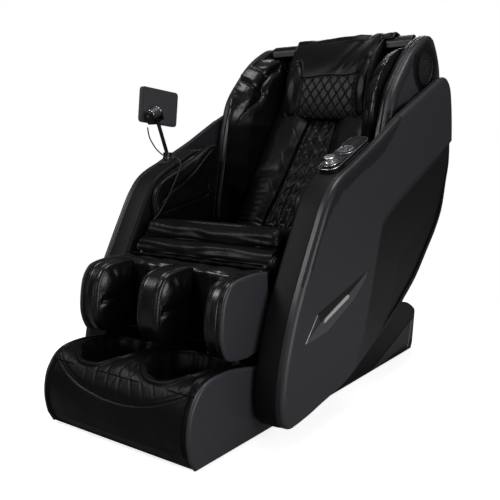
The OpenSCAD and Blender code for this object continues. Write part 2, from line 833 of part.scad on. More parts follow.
module speakers() color([0.09, 0.09, 0.10])
    both() {
        difference() {                           // ring
            prism_x(342, wing_half + 3, speaker_oval(78, 67));
            prism_x(346, wing_half + 4, speaker_oval(66, 55));
            prism_x(341, 347, speaker_oval(52, 42));
        }
        // grille plate and driver magnet behind it
        prism_x(346.2, 348.6, speaker_oval(64, 53));
        cyl_x(318, 346.1, speaker_centre, 30);
    }

module back_cushion() color(soft_black)
    prism_x(-back_half, back_half,
            concat(back_line, reversed(aside(back_line, back_pad_t))));

module shoulder_pad(side) color(soft_black)
    prism_x(side * 240, side * 298.5,
        curve([[150, 640], [178, 760], [214, 872], [262, 968], [330, 1048],
               [396, 1098], [440, 1112], [462, 1080], [446, 1000],
               [404, 905], [340, 800], [270, 690], [205, 600], [160, 590]]));
module shoulder_pad_left() shoulder_pad(1);
module shoulder_pad_right() shoulder_pad(-1);

module head_pillow() color([0.06, 0.06, 0.065]) {
    // hinge rod sewn into the upper hem, and tabs that hold it
    cyl_x(-196, 196, pillow_hinge, hinge_rod_r);
    both() prism_x(176, 180, [[468, 1181], [474, 1191], [487, 1198],
                              [492, 1195], [489, 1189.5], [480, 1186.4]]);
    prism_x(-pillow_half, pillow_half, concat(
        curve([[358, 889], [347, 901], [358, 960], [376, 1040],
               [408, 1112], [446, 1164], [476, 1191]]),
        [[480, 1186.5], [464, 1174], [462, 1138]],
        curve([[458, 1100], [437, 1036], [403, 964], [366, 903]])));
}

massage_at = 249;                   // rest place along the rails
massage_depth = 82;                 // of the roller shaft
massage_shaft_r = 6;
module massage_carriage() color(mid_grey) {
    // cross plate between the two channels, open behind the rollers
    difference() {
        prism_x(-62, 62, rail_rect(massage_at - 60, massage_at + 60, 99, 105));
        both() prism_x(22, 52.5,
                       rail_rect(massage_at - 36, massage_at + 36, 95, 110));
    }
    both() for (k = [-46, 46]) {
        guide = rail_point(massage_at + k, 73);
        link(54, 60, guide, rail_point(massage_at + k, 101), 6);
        cyl_x(54, 78, guide, 6.5);               // guide rollers
    }
    // gear housing and the shaft of the kneading rollers
    prism_x(-20, 20, rail_rect(massage_at - 30, massage_at + 30, 74, 100));
    cyl_x(-52, 52, rail_point(massage_at, massage_depth), massage_shaft_r);
}
module massage_roller(side) color([0.10, 0.10, 0.11]) {
    centre = rail_point(massage_at + 3, massage_depth);  // eccentric by 3
    difference() {
        union() {
            cyl_x(side * 24, side * 50, centre, 18);
            cyl_x(side * 30, side * 44, centre, 24);
        }
        cyl_x(side * 20, side * 55, rail_point(massage_at, massage_depth),
              massage_shaft_r + fit);
    }
}
module massage_roller_left() massage_roller(1);
module massage_roller_right() massage_roller(-1);

// =========================================================================
// LEG REST
// =========================================================================
calf_plate_in = 262;                // inner face of the side plates
calf_pad_out = 261;                 // outer face of the pads and cover

module calf_frame() color(frame_grey) {
    cyl_x(-266, 266, leg_pivot, leg_shaft_r);
    both() {
        cyl_x(261.5, 266, leg_pivot, 14);
        cyl_x(236, 244, leg_pivot, 14);
        prism_x(236, 244, [[-349, 475], [-327, 464], [-358, 400],
                           [-358, 250], [-386, 250], [-386, 420]]);
        // guide tube of the foot box rod
        difference() {
            box(146, 174, -386, -358, 246, 452);
            cyl_z(240, 460, foot_rod, foot_rod_r + fit);
        }
    }
    // cross strips
    difference() {
        for (z = [420, 250]) box(-240, 240, -386, -378, z, z + 30);
        both() cyl_z(240, 460, foot_rod, foot_rod_r + 0.5);
    }
    // crank of the leg rest drive
    for (x = [-72, -55]) link(x, x + 7, leg_pivot, leg_crank, 9);
    cyl_x(-72, -48, leg_pivot, 14);
    cyl_x(-72, -48, leg_crank, drive_pin_r);
}

module calf_shell() color(shell_grey) {
    both() prism_x(calf_plate_in, calf_half, calf_outline);
    difference() {
        union() {
            box(-calf_plate_in, calf_plate_in, -392, -386.5, 246, 440);
            box(-calf_plate_in, calf_plate_in, -430, -356, 239, 245.5);
            box(-calf_plate_in, calf_plate_in, -357, -352, 239, 380);
        }
        both() cyl_z(200, 300, foot_rod, 12);
    }
}

// D-shaped pad between x0 and x1
module calf_pad(x0, x1) color(soft_black)
    prism_x(x0, x1, concat(
        curve([[-470, 247], [-540, 252], [-566, 270], [-581, 318],
               [-573, 390], [-556, 428], [-528, 448], [-470, 456]]),
        [[-428, 456], [-428, 247]]));
module calf_pad_left() calf_pad(side_pad_in, calf_pad_out);
module calf_pad_right() mirror([1, 0, 0]) calf_pad(side_pad_in, calf_pad_out);
module calf_pad_center() calf_pad(-mid_pad_half, mid_pad_half);

module calf_cover() color(soft_black)
    prism_x(-calf_pad_out, calf_pad_out, concat(
        [[-426.5, 247], [-426.5, 452]],
        curve([[-420, 459], [-400, 462], [-378, 461]]),
        [[-368, 454.5], [-392.5, 454.5], [-392.5, 247]]));

// =========================================================================
// FOOT BOX
// =========================================================================
foot_plate_in = foot_half - 8;      // inner face of the side plates
sole_axle = [-560, 36];             // (Y, Z)
sole_axle_r = 6;

module foot_housing() color(shell_grey) {
    both() prism_x(foot_plate_in, foot_half, foot_outline);
    box(-foot_plate_in, foot_plate_in, -694, -350, 8, 14);
    box(-foot_plate_in, foot_plate_in, -356, -350, 14, 120);
    both() {
        difference() {                           // bearing ribs
            box(238, 246, -580, -540, 14, 60);
            cyl_x(230, 250, sole_axle, sole_axle_r + fit);
        }
        // block and rod that slides in the leg rest
        box(142, 178, -390, -356, 14, 120);
        cyl_z(110, 446, foot_rod, foot_rod_r);
    }
}

module foot_upholstery() color(soft_black)
    difference() {
        prism_x(-foot_plate_in + 1, foot_plate_in - 1, inset(foot_outline, 1));
        // open below for the rollers
        box(-280, 280, -694, -300, 0, 62);
        // rod blocks and rear wall
        box(-280, 280, -392, -340, 0, 121);
        both() cyl_z(100, 240, foot_rod, 10);
        // foot wells
        both() prism_x(well_in, well_out,
            [[-646, 50], [-672, 110], [-640, 170], [-640, 260],
             [-452, 260], [-446, 110], [-446, 50]]);
    }

module foot_rollers() color([0.08, 0.08, 0.085]) {
    cyl_x(-250, 250, sole_axle, sole_axle_r);
    both() for (x = [56 : 30 : 206]) {
        cyl_x(x - 10, x + 10, sole_axle, sole_r - 4);
        cyl_x(x - 4, x + 4, sole_axle, sole_r);
    }
}

module middle() translate([0, mid_y, 0]) children();

middle() base_frame();
middle() base_cover();
middle() base_light_bars();
middle() levelling_feet();
middle() power_supply();
middle() control_unit();
middle() air_pump();
middle() power_inlet();
middle() mains_switch();
middle() transport_wheel_left();
middle() transport_wheel_right();
middle() glide_frame();
middle() tilt_actuator_motor();
middle() tilt_actuator_rod();
middle() seat_frame();
middle() recline_actuator_motor();
middle() recline_actuator_rod();
middle() legrest_actuator_motor();
middle() legrest_actuator_rod();
middle() seat_cushion();
middle() side_panel_left();
middle() side_panel_right();
middle() accent_blades();
middle() armrest_left();
middle() armrest_right();
middle() arm_pad_left();
middle() arm_pad_right();
middle() control_panel();
middle() dial_knob();
middle() key_centre();
middle() key_front();
middle() key_rear();
middle() key_inner();
middle() key_outer();
middle() tablet_mount();
middle() tablet_arm();
middle() tablet_housing();
middle() tablet_screen();
middle() tablet_cable();
middle() back_frame();
middle() back_shell();
middle() wing_left();
middle() wing_right();
middle() speakers();
middle() back_cushion();
middle() shoulder_pad_left();
middle() shoulder_pad_right();
middle() head_pillow();
middle() massage_carriage();
middle() massage_roller_left();
middle() massage_roller_right();
middle() calf_frame();
middle() calf_shell();
middle() calf_pad_left();
middle() calf_pad_center();
middle() calf_pad_right();
middle() calf_cover();
middle() foot_housing();
middle() foot_upholstery();
middle() foot_rollers();
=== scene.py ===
"""Massage chair: upholstery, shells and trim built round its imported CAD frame.

Lengths are millimetres unless a comment says otherwise. X runs across the chair (+X is its
left side), Y from front to rear and Z up. Outlines are side views, as (Y, Z) points.
ROW_SHIFT moves the pieces along Y into the frame's place.
"""
import math
import json
from types import SimpleNamespace
import bmesh
import bpy
import numpy as np
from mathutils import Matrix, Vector


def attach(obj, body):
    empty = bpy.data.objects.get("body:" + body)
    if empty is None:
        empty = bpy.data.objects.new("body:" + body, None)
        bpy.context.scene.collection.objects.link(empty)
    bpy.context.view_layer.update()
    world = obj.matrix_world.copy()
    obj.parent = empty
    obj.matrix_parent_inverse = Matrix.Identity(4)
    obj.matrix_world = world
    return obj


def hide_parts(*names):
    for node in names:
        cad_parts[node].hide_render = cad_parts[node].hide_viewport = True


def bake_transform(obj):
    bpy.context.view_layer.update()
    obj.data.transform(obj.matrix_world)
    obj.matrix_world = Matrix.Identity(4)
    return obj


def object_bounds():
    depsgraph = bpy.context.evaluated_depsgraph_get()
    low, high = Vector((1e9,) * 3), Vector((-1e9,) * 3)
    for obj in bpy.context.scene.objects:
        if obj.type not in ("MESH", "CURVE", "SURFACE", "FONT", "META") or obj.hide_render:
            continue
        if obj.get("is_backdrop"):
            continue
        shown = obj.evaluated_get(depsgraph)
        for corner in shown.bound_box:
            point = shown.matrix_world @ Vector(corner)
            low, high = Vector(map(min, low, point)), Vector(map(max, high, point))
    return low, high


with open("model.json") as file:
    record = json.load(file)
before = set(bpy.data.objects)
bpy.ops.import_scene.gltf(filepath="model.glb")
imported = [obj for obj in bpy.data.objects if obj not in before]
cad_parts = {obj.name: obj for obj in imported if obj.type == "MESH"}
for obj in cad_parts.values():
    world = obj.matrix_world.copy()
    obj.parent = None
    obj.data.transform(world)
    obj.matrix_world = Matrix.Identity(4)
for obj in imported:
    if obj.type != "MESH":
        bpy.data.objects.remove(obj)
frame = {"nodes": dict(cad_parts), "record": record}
cad_lo, cad_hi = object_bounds()
scene = bpy.context.scene

ROW_SHIFT = 29.527
SIDES = ((1, "left"), (-1, "right"))

# Faces of a leaf's ring: the first curve, the larger-X side, the second curve, the smaller-X side,
# then the corners between them.
FIRST, OUTER, SECOND, INNER, INNER_FIRST, FIRST_OUTER, OUTER_SECOND = range(7)


# ------------------------------------------------------------------ curves
def curve(points, steps=8):
    """Catmull-Rom curve through the points."""
    points = np.asarray(points, float)
    last = len(points) - 1
    out = []
    for i in range(last):
        before, start, end, after = (points[min(max(j, 0), last)] for j in range(i - 1, i + 3))
        for k in range(steps):
            t = k / steps
            out.append(0.5 * (2 * start + (end - before) * t
                              + (2 * before - 5 * start + 4 * end - after) * t * t
                              + (3 * start - before - 3 * end + after) * t ** 3))
    return np.array(out + [points[-1]])


def travel(line):
    """Length travelled at each point of a polyline."""
    steps = np.linalg.norm(np.diff(line, axis=0), axis=1)
    return np.concatenate([[0], np.cumsum(steps)])


def sample(line, shares):
    """Points at shares (0 to 1) of a polyline's length."""
    lengths = travel(line)
    wanted = np.clip(shares, 0, 1) * lengths[-1]
    return np.stack([np.interp(wanted, lengths, line[:, i]) for i in range(line.shape[1])], -1)


def unit(vectors):
    return vectors / np.maximum(np.linalg.norm(vectors, axis=-1, keepdims=True), 1e-9)


def aside(line, distance):
    """A side-view line moved square to itself; an upward line moves to the rear."""
    tangent = unit(np.gradient(line, axis=0))
    return line + np.stack([tangent[:, 1], -tangent[:, 0]], -1) * distance


def ramp(value, low, high):
    """Smooth rise from 0 at low to 1 at high."""
    t = np.clip((value - low) / (high - low), 0, 1)
    return t * t * (3 - 2 * t)


def ridge(offset, width):
    """Bell of height 1 at offset 0."""
    return np.exp(-(offset / width) ** 2)


def polyline_distance(y, z, line):
    """Distance to a polyline, the share of its length there, and the side (sign) of it."""
    line = np.asarray(line, float)
    lengths = travel(line)
    best = np.full(y.shape, 1e9)
    share, side = np.zeros(y.shape), np.zeros(y.shape)
    for i in range(len(line) - 1):
        start, step = line[i], line[i + 1] - line[i]
        square = max(float(step @ step), 1e-9)
        t = np.clip(((y - start[0]) * step[0] + (z - start[1]) * step[1]) / square, 0, 1)
        distance = np.hypot(y - (start[0] + t * step[0]), z - (start[1] + t * step[1]))
        closer = distance < best
        best = np.where(closer, distance, best)
        share = np.where(closer, (lengths[i] + t * math.sqrt(square)) / lengths[-1], share)
        cross = step[0] * (z - start[1]) - step[1] * (y - start[0])
        side = np.where(closer, np.sign(cross), side)
    return best, share, side


# ------------------------------------------------------------------ surfaces
class Skin:
    """A closed surface: points (rings, points in a ring, 3) and named fields over them."""

    def __init__(self, points, **fields):
        self.points = points
        for name, values in fields.items():
            setattr(self, name, np.broadcast_to(values, points.shape[:2]))

    @property
    def xyz(self):
        """Views of the coordinates; changing them in place moves the points."""
        return np.moveaxis(self.points, -1, 0)

    def on(self, *faces):
        return np.isin(self.face, faces)


def end_profile(rings, radii, length, bulge, cap, edge):
    """Place along the length, inset and scale of each ring.

    At both ends the share of rings up to cap makes a domed end, and up to edge a rounded rim.
    """
    places, insets, scales = np.zeros(rings), np.zeros(rings), np.ones(rings)
    for i, share in enumerate(np.linspace(0, 1, rings)):
        far = share >= 0.5
        near = 1 - share if far else share
        radius = radii[1] if far else radii[0]
        if near < cap:
            scales[i] = max(near / cap, 1e-3)
            insets[i] = radius
            offset = -bulge * (1 - (near / cap) ** 2)
        elif near < edge:
            turn = (near - cap) / (edge - cap) * math.pi / 2
            insets[i] = radius * (1 - math.sin(turn))
            offset = radius * (1 - math.cos(turn))
        else:
            middle = (share - edge) / (1 - 2 * edge)
            places[i] = radii[0] + middle * (length - radii[0] - radii[1])
            continue
        places[i] = length - offset if far else offset
    return places, insets, scales


def rounded_rectangle(count, width, height, radii, shares):
    """Depth (0 to width), rise (0 to height) and face of count points round a rectangle.

    radii: corners at (0, 0), (0, height), (width, height), (width, 0).
    shares: shares of the points on the four sides; the corners take the rest.
    """
    corner = (1 - sum(shares)) / 4
    cuts = np.cumsum([0] + [part for share in shares for part in (share, corner)])
    turn = np.arange(count) / count
    segments = np.minimum(np.searchsorted(cuts, turn + 1e-12, side="right") - 1, 7)
    limit = 0.499 * min(width, height)
    r0, r1, r2, r3 = radii = [min(radius, limit) for radius in radii]
    centres = [(r0, r0), (r1, height - r1), (width - r2, height - r2), (width - r3, r3)]
    sides = [((0, r0), (0, height - r1)), ((r1, height), (width - r2, height)),
             ((width, height - r2), (width, r3)), ((width - r3, 0), (r0, 0))]
    depth, rise, face = np.zeros(count), np.zeros(count), np.zeros(count, int)
    for j in range(8):
        here = segments == j
        t = (turn[here] - cuts[j]) / max(cuts[j + 1] - cuts[j], 1e-9)
        side = j // 2
        if j % 2 == 0:
            start, end = sides[side]
            depth[here] = start[0] + (end[0] - start[0]) * t
            rise[here] = start[1] + (end[1] - start[1]) * t
            face[here] = side
        else:
            i = (side + 1) % 4
            angle = (2 - side - t) * math.pi / 2
            depth[here] = centres[i][0] + radii[i] * np.cos(angle)
            rise[here] = centres[i][1] + radii[i] * np.sin(angle)
            face[here] = 4 + i
    return depth, rise, face


def leaf(first, second, x_inner, x_outer, radii, shares, ends, bulge, cap=0.06, edge=0.16):
    """Maker of a body between two side-view curves, for any count of rings and points.

    Fields: along (0 to 1) and place (mm) along the curves, depth from the first curve to the
    second (0 to 1), across X (-1 to 1), face, length.
    """
    first, second = np.asarray(first, float), np.asarray(second, float)
    even = np.linspace(0, 1, 60)
    length = travel((sample(first, even) + sample(second, even)) / 2)[-1]
    span = x_outer - x_inner

    def make(rings, count):
        places, insets, scales = end_profile(rings, ends, length, bulge, cap, edge)
        along = places / length
        starts, stops = sample(first, along), sample(second, along)
        # the domed ends overshoot the curves along their tangents
        tangents = unit(sample(first, along + 0.02) - sample(first, along - 0.02))
        overshoot = places - np.clip(places, 0, length)
        points = np.zeros((rings, count, 3))
        depths, acrosses = np.zeros((rings, count)), np.zeros((rings, count))
        for i in range(rings):
            chord = stops[i] - starts[i]
            width = max(np.linalg.norm(chord), 1e-6)
            inset = min(insets[i], 0.46 * width, 0.46 * span)
            inner_width, inner_span = width - 2 * inset, span - 2 * inset
            corners = [max(radius - inset * 0.6, 0.4) for radius in radii]
            depth, rise, face = rounded_rectangle(count, inner_width, inner_span, corners, shares)
            depth = inner_width / 2 + (depth - inner_width / 2) * scales[i] + inset
            rise = inner_span / 2 + (rise - inner_span / 2) * scales[i] + inset
            side_view = (starts[i] + chord / width * depth[:, None]
                         + tangents[i] * overshoot[i])
            points[i] = np.column_stack([x_inner + rise, side_view])
            depths[i] = depth / width
            acrosses[i] = rise / span * 2 - 1
        return Skin(points, along=along[:, None], place=places[:, None], depth=depths,
                    across=acrosses, face=face, length=length)

    return make


def prism(outline, x_start, x_end, ends, bulge, cap, edge):
    """Maker of a side-view outline swept along X, with rounded edges and domed ends.

    Fields: place (mm from x_start), inset and scale of the ring, length.
    """
    outline = np.asarray(outline, float)
    following = np.roll(outline, -1, 0)
    area = outline[:, 0] * following[:, 1] - following[:, 0] * outline[:, 1]
    centre = ((outline + following) * area[:, None]).sum(0) / (3 * area.sum())
    turn = 1 if area.sum() > 0 else -1
    loop = np.vstack([outline, outline[:1]])
    length = abs(x_end - x_start)
    way = 1 if x_end > x_start else -1

    def make(rings, count):
        places, insets, scales = end_profile(rings, ends, length, bulge, cap, edge)
        base = sample(loop, np.arange(count) / count)
        tangent = unit(np.roll(base, -1, 0) - np.roll(base, 1, 0))
        inward = np.stack([-tangent[:, 1], tangent[:, 0]], -1) * turn
        side_view = base + inward * insets[:, None, None]
        side_view = centre + (side_view - centre) * scales[:, None, None]
        x = np.broadcast_to((x_start + way * places)[:, None, None], (rings, count, 1))
        return Skin(np.concatenate([x, side_view], -1), place=places[:, None],
                    inset=insets[:, None], scale=scales[:, None], length=length)

    return make


def grid_faces(rings, count):
    ring, point = np.meshgrid(np.arange(rings - 1), np.arange(count), indexing="ij")
    here, beside = ring * count + point, ring * count + (point + 1) % count
    return np.stack([here, beside, beside + count, here + count], -1).reshape(-1, 4)


def signed_volume(vertices, quads):
    """Positive when the quads face outwards."""
    centred = vertices - vertices.mean(0)
    a, b, c, d = (centred[quads[:, i]] for i in range(4))
    return float((np.einsum("ij,ij->i", a, np.cross(b, c))
                  + np.einsum("ij,ij->i", a, np.cross(c, d))).sum())


def faces_outward(points):
    return signed_volume(points.reshape(-1, 3), grid_faces(*points.shape[:2])) > 0


def outward_normals(points):
    round_ring = np.roll(points, -1, 1) - np.roll(points, 1, 1)
    normals = unit(np.cross(round_ring, np.gradient(points, axis=0)))
    return normals if faces_outward(points) else -normals


def closed_faces(points):
    """Vertices and outward faces of rings closed by a fan at each end."""
    rings, count, _ = points.shape
    vertices = np.vstack([points.reshape(-1, 3), points[0].mean(0)[None], points[-1].mean(0)[None]])
    faces = [list(face) for face in grid_faces(rings, count)]
    start, end, last = rings * count, rings * count + 1, (rings - 1) * count
    for i in range(count):
        j = (i + 1) % count
        faces.append([start, j, i])
        faces.append([end, last + i, last + j])
    if not faces_outward(points):
        faces = [face[::-1] for face in faces]
    return vertices, faces


def smooth_field(field, times):
    """Average with the neighbours, round the rings and from ring to ring."""
    for _ in range(times):
        field = (field + np.roll(field, 1, 1) + np.roll(field, -1, 1)) / 3
        averaged = field.copy()
        averaged[1:-1] = (field[:-2] + field[1:-1] + field[2:]) / 3
        field = averaged
    return field


def refine_field(field, rings, count):
    """The field on a finer grid, periodic along the rings."""
    coarse_rings, coarse_count = field.shape[:2]
    row = np.linspace(0, coarse_rings - 1, rings)
    row_below = np.minimum(row.astype(int), coarse_rings - 2)
    row_part = (row - row_below)[:, None, None]
    column = np.arange(count) / count * coarse_count
    left = column.astype(int) % coarse_count
    right = (left + 1) % coarse_count
    column_part = (column - np.floor(column))[None, :, None]

    def blend_row(rows):
        return field[rows][:, left] * (1 - column_part) + field[rows][:, right] * column_part

    return smooth_field(blend_row(row_below) * (1 - row_part)
                        + blend_row(row_below + 1) * row_part, 2)


# ------------------------------------------------------------------ objects
def to_mesh(name, vertices, faces, angle=38):
    """Smooth-shaded object in metres; edges sharper than angle (degrees) stay hard."""
    mesh = bpy.data.meshes.new(name)
    metres = (np.asarray(vertices, float) + np.array([0, ROW_SHIFT, 0])) * 0.001
    mesh.from_pydata(metres.tolist(), [], [tuple(int(i) for i in face) for face in faces])
    mesh.polygons.foreach_set("use_smooth", [True] * len(mesh.polygons))
    mesh.update()
    mesh.set_sharp_from_angle(angle=math.radians(angle))
    ob = bpy.data.objects.new(name, mesh)
    scene.collection.objects.link(ob)
    return ob


def recalc_normals(ob, triangulate=False):
    mesh = bmesh.new()
    mesh.from_mesh(ob.data)
    if triangulate:
        bmesh.ops.triangulate(mesh, faces=mesh.faces[:])
    bmesh.ops.recalc_face_normals(mesh, faces=mesh.faces[:])
    mesh.to_mesh(ob.data)
    mesh.free()


def discard(ob):
    mesh = ob.data
    bpy.data.objects.remove(ob)
    bpy.data.meshes.remove(mesh)


def add_mask(ob, mask):
    """Store the "mask" attribute that the two-tone and painted-shade materials read; fan centres get
    0.
    """
    values = np.zeros(len(ob.data.vertices), np.float32)
    values[:mask.size] = mask.reshape(-1)
    ob.data.attributes.new("mask", "FLOAT", "POINT").data.foreach_set("value", values)


def mirror_copy(ob, name):
    mesh = ob.data.copy()
    coordinates = np.zeros(len(mesh.vertices) * 3, np.float32)
    mesh.vertices.foreach_get("co", coordinates)
    coordinates[::3] *= -1
    mesh.vertices.foreach_set("co", coordinates)
    mesh.flip_normals()
    mesh.update()
    twin = bpy.data.objects.new(name, mesh)
    mesh.name = name
    scene.collection.objects.link(twin)
    return twin


def finish(ob, body, material, slot, replaces=()):
    """Give an object its material, the body it rides on and the CAD nodes it replaces."""
    ob.data.materials.clear()
    ob.data.materials.append(MATERIALS[material])
    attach(ob, body)
    if replaces:
        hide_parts(*replaces)


def cut_away(ob, cutter, angle):
    modifier = ob.modifiers.new("cut", "BOOLEAN")
    modifier.operation = "DIFFERENCE"
    modifier.solver = "EXACT"
    modifier.object = cutter
    depsgraph = bpy.context.evaluated_depsgraph_get()
    mesh = bpy.data.meshes.new_from_object(ob.evaluated_get(depsgraph))
    ob.modifiers.clear()
    ob.data = mesh
    mesh.name = ob.name
    mesh.set_sharp_from_angle(angle=math.radians(angle))


def build(name, skin, body, material, slot, replaces=(), detail=None, mirror=False, angle=30,
          cut=None, swell=0.0):
    """Make a finished object of a Skin, moved by swell and raised along its normals.

    detail gives the height, or height and mask, from the unswollen skin. mirror adds a right twin.
    """
    points = skin.points + swell
    mask = None
    if detail:
        height = detail(skin)
        if isinstance(height, tuple):
            height, mask = height
        points = points + outward_normals(points) * height[..., None]
    skin.points = points
    ob = to_mesh(name, *closed_faces(points), angle)
    if mask is not None:
        add_mask(ob, mask)
    if cut:
        cut_away(ob, cut, angle)
    finish(ob, body, material, slot, replaces)
    if mirror:
        twin = mirror_copy(ob, name.replace("left", "right"))
        finish(twin, body, material, slot, [node.replace("left", "right") for node in replaces])


def hard(name, make, size, body, material, slot, replaces=(), shape=None, **options):
    """A rigid piece; size is (rings, points in a ring), shape moves the skin's points."""
    skin = make(*size)
    if shape:
        shape(skin)
    build(name, skin, body, material, slot, replaces, **options)


def tube(name, path, radius, sides, body, material, slot, rings, closed=False, replaces=()):
    """A cord along a 3-D path."""
    path = np.asarray(path, float)
    if closed:
        path = np.vstack([path, path[:1]])
        centres = sample(path, np.linspace(0, 1, rings + 1))[:-1]
        tangents = unit(np.roll(centres, -1, 0) - np.roll(centres, 1, 0))
    else:
        centres = sample(path, np.linspace(0, 1, rings))
        tangents = unit(np.gradient(centres, axis=0))
    across = np.cross(tangents, np.array([0.21, 0.13, 0.97]))
    weak = np.linalg.norm(across, axis=1) < 0.15
    across[weak] = np.cross(tangents[weak], np.array([1.0, 0, 0]))
    for i in range(1, len(across)):  # carry the frame along, without flips
        carried = across[i - 1] - tangents[i] * (across[i - 1] @ tangents[i])
        if np.linalg.norm(carried) > 1e-6:
            across[i] = carried
        across[i] = unit(across[i])
    across[0] = unit(across[0])
    upward = np.cross(tangents, across)
    radii = np.full(len(centres), float(radius))
    if not closed:  # a small ring beyond each end rounds it off
        def repeat_ends(rows):
            return np.vstack([rows[:1], rows, rows[-1:]])
        centres, across, upward = map(repeat_ends, (centres, across, upward))
        radii = np.concatenate([[radius * 0.05], radii, [radius * 0.05]])
        centres[0] -= tangents[0] * radius * 0.6
        centres[-1] += tangents[-1] * radius * 0.6
    angles = (np.arange(sides) / sides * 2 * math.pi)[None, :, None]
    points = centres[:, None] + radii[:, None, None] * (
        np.cos(angles) * across[:, None] + np.sin(angles) * upward[:, None])
    if closed:
        vertices = points.reshape(-1, 3)
        faces = grid_faces(rings + 1, sides) % len(vertices)
        if signed_volume(vertices, faces) < 0:
            faces = faces[:, ::-1]
    else:
        vertices, faces = closed_faces(points)
    finish(to_mesh(name, vertices, faces, 60), body, material, slot, replaces)


def double_sheet(name, top, under):
    """A thin cloth between two grids of points, closed at its edges."""
    loops = np.concatenate([top, under[:, ::-1]], 1)
    rows, count = loops.shape[:2]
    faces = [list(face) for face in grid_faces(rows, count)]
    for row in (0, rows - 1):
        for i in range(count // 2 - 1):
            face = [row * count + k for k in (i, i + 1, count - 2 - i, count - 1 - i)]
            faces.append(face if row == 0 else face[::-1])
    ob = to_mesh(name, loops.reshape(-1, 3), faces, 60)
    recalc_normals(ob)
    return ob


# ------------------------------------------------------------------ soft pieces
SOFT = []
MADE = {}
LAST_CLOTH_FRAME = 20


def soft(name, make, coarse, fine, body, pin, detail, pressure, limit, grow, replaces=(), bend=0.5,
         soften=2, scale=1.0, shape=None, material="black_leather", mirror=False):
    """Queue a padded piece: a coarse skin swells as cloth, and its swelling moves the fine one.

    limit: most swelling (mm); grow: cloth growth (share); soften: passes of smoothing of the
    swelling; scale: factor on it.
    """
    SOFT.append(SimpleNamespace(**locals()))


def soft_skin(piece, size):
    skin = piece.make(*size)
    if piece.shape:
        piece.shape(skin)
    return skin


def cloth_object(piece, skin):
    ob = to_mesh("sim_" + piece.name, *closed_faces(skin.points))
    total = len(ob.data.vertices)
    weights = np.clip(piece.pin(skin), 0, 1).reshape(-1)
    group = ob.vertex_groups.new(name="pin")
    levels = np.round(weights * 10) / 10
    for level in np.unique(levels):
        if level > 0:
            group.add([int(i) for i in np.nonzero(levels == level)[0]], float(level), "REPLACE")
    group.add([total - 2, total - 1], 1.0, "REPLACE")
    cloth = ob.modifiers.new("cloth", "CLOTH")
    settings = dict(
        quality=5, mass=0.25, tension_stiffness=12, compression_stiffness=12, shear_stiffness=4,
        bending_stiffness=piece.bend, tension_damping=6, compression_damping=6, air_damping=2.0,
        use_pressure=True, uniform_pressure_force=piece.pressure, shrink_min=-piece.grow,
        vertex_group_mass="pin", pin_stiffness=1.0)
    for key, value in settings.items():
        setattr(cloth.settings, key, value)
    cloth.settings.effector_weights.gravity = 0.0
    cloth.collision_settings.use_collision = False
    cloth.collision_settings.use_self_collision = False
    cloth.point_cache.frame_start = 1
    cloth.point_cache.frame_end = 22
    return ob


def read_swelling(piece, skin, ob, depsgraph):
    """How far the cloth moved the coarse skin, smoothed and limited."""
    evaluated = ob.evaluated_get(depsgraph)
    mesh = evaluated.to_mesh()
    flat = np.zeros(len(mesh.vertices) * 3, np.float32)
    mesh.vertices.foreach_get("co", flat)
    moved = flat.reshape(-1, 3)[:skin.points[..., 0].size].astype(float) * 1000
    moved = (moved - np.array([0, ROW_SHIFT, 0])).reshape(skin.points.shape) - skin.points
    moved = smooth_field(np.nan_to_num(moved), piece.soften) * piece.scale
    distance = np.linalg.norm(moved, axis=2, keepdims=True)
    evaluated.to_mesh_clear()
    return moved * np.minimum(1, piece.limit / np.maximum(distance, 1e-6))


def simulate_soft():
    """Run all cloths together; returns the swelling of each piece by name."""
    jobs = []
    for piece in SOFT:
        skin = soft_skin(piece, piece.coarse)
        jobs.append((piece, skin, cloth_object(piece, skin)))
    for number in range(1, LAST_CLOTH_FRAME + 1):
        scene.frame_set(number)
    depsgraph = bpy.context.evaluated_depsgraph_get()
    swelling = {job[0].name: read_swelling(*job, depsgraph) for job in jobs}
    for _, _, ob in jobs:
        discard(ob)
    scene.frame_set(1)
    return swelling


def build_soft():
    swelling = simulate_soft()
    for piece in SOFT:
        skin = soft_skin(piece, piece.fine)
        swell = 0.0
        if piece.name in swelling:
            swell = refine_field(swelling[piece.name], *piece.fine_shape(skin)) \
                if hasattr(piece, "fine_shape") else \
                refine_field(swelling[piece.name], *skin.points.shape[:2])
        build(piece.name, skin, piece.body, piece.material, "black_leather", piece.replaces,
              detail=piece.detail, mirror=piece.mirror, angle=50, swell=swell)
        MADE[piece.name] = skin


# ------------------------------------------------------------------ materials
def set_inputs(tree, node, inputs):
    """Set inputs to values, or link them when the value is another node's socket."""
    for key, value in inputs.items():
        if isinstance(value, bpy.types.NodeSocket):
            tree.links.new(value, node.inputs[key])
        else:
            node.inputs[key].default_value = value


def add_node(tree, kind, inputs=None, **settings):
    node = tree.nodes.new("ShaderNode" + kind)
    for key, value in settings.items():
        setattr(node, key, value)
    set_inputs(tree, node, inputs or {})
    return node


def add_bump(tree, height, strength, distance, below):
    inputs = {"Strength": strength, "Distance": distance, "Height": height}
    if below is not None:
        inputs["Normal"] = below
    return add_node(tree, "Bump", inputs).outputs["Normal"]


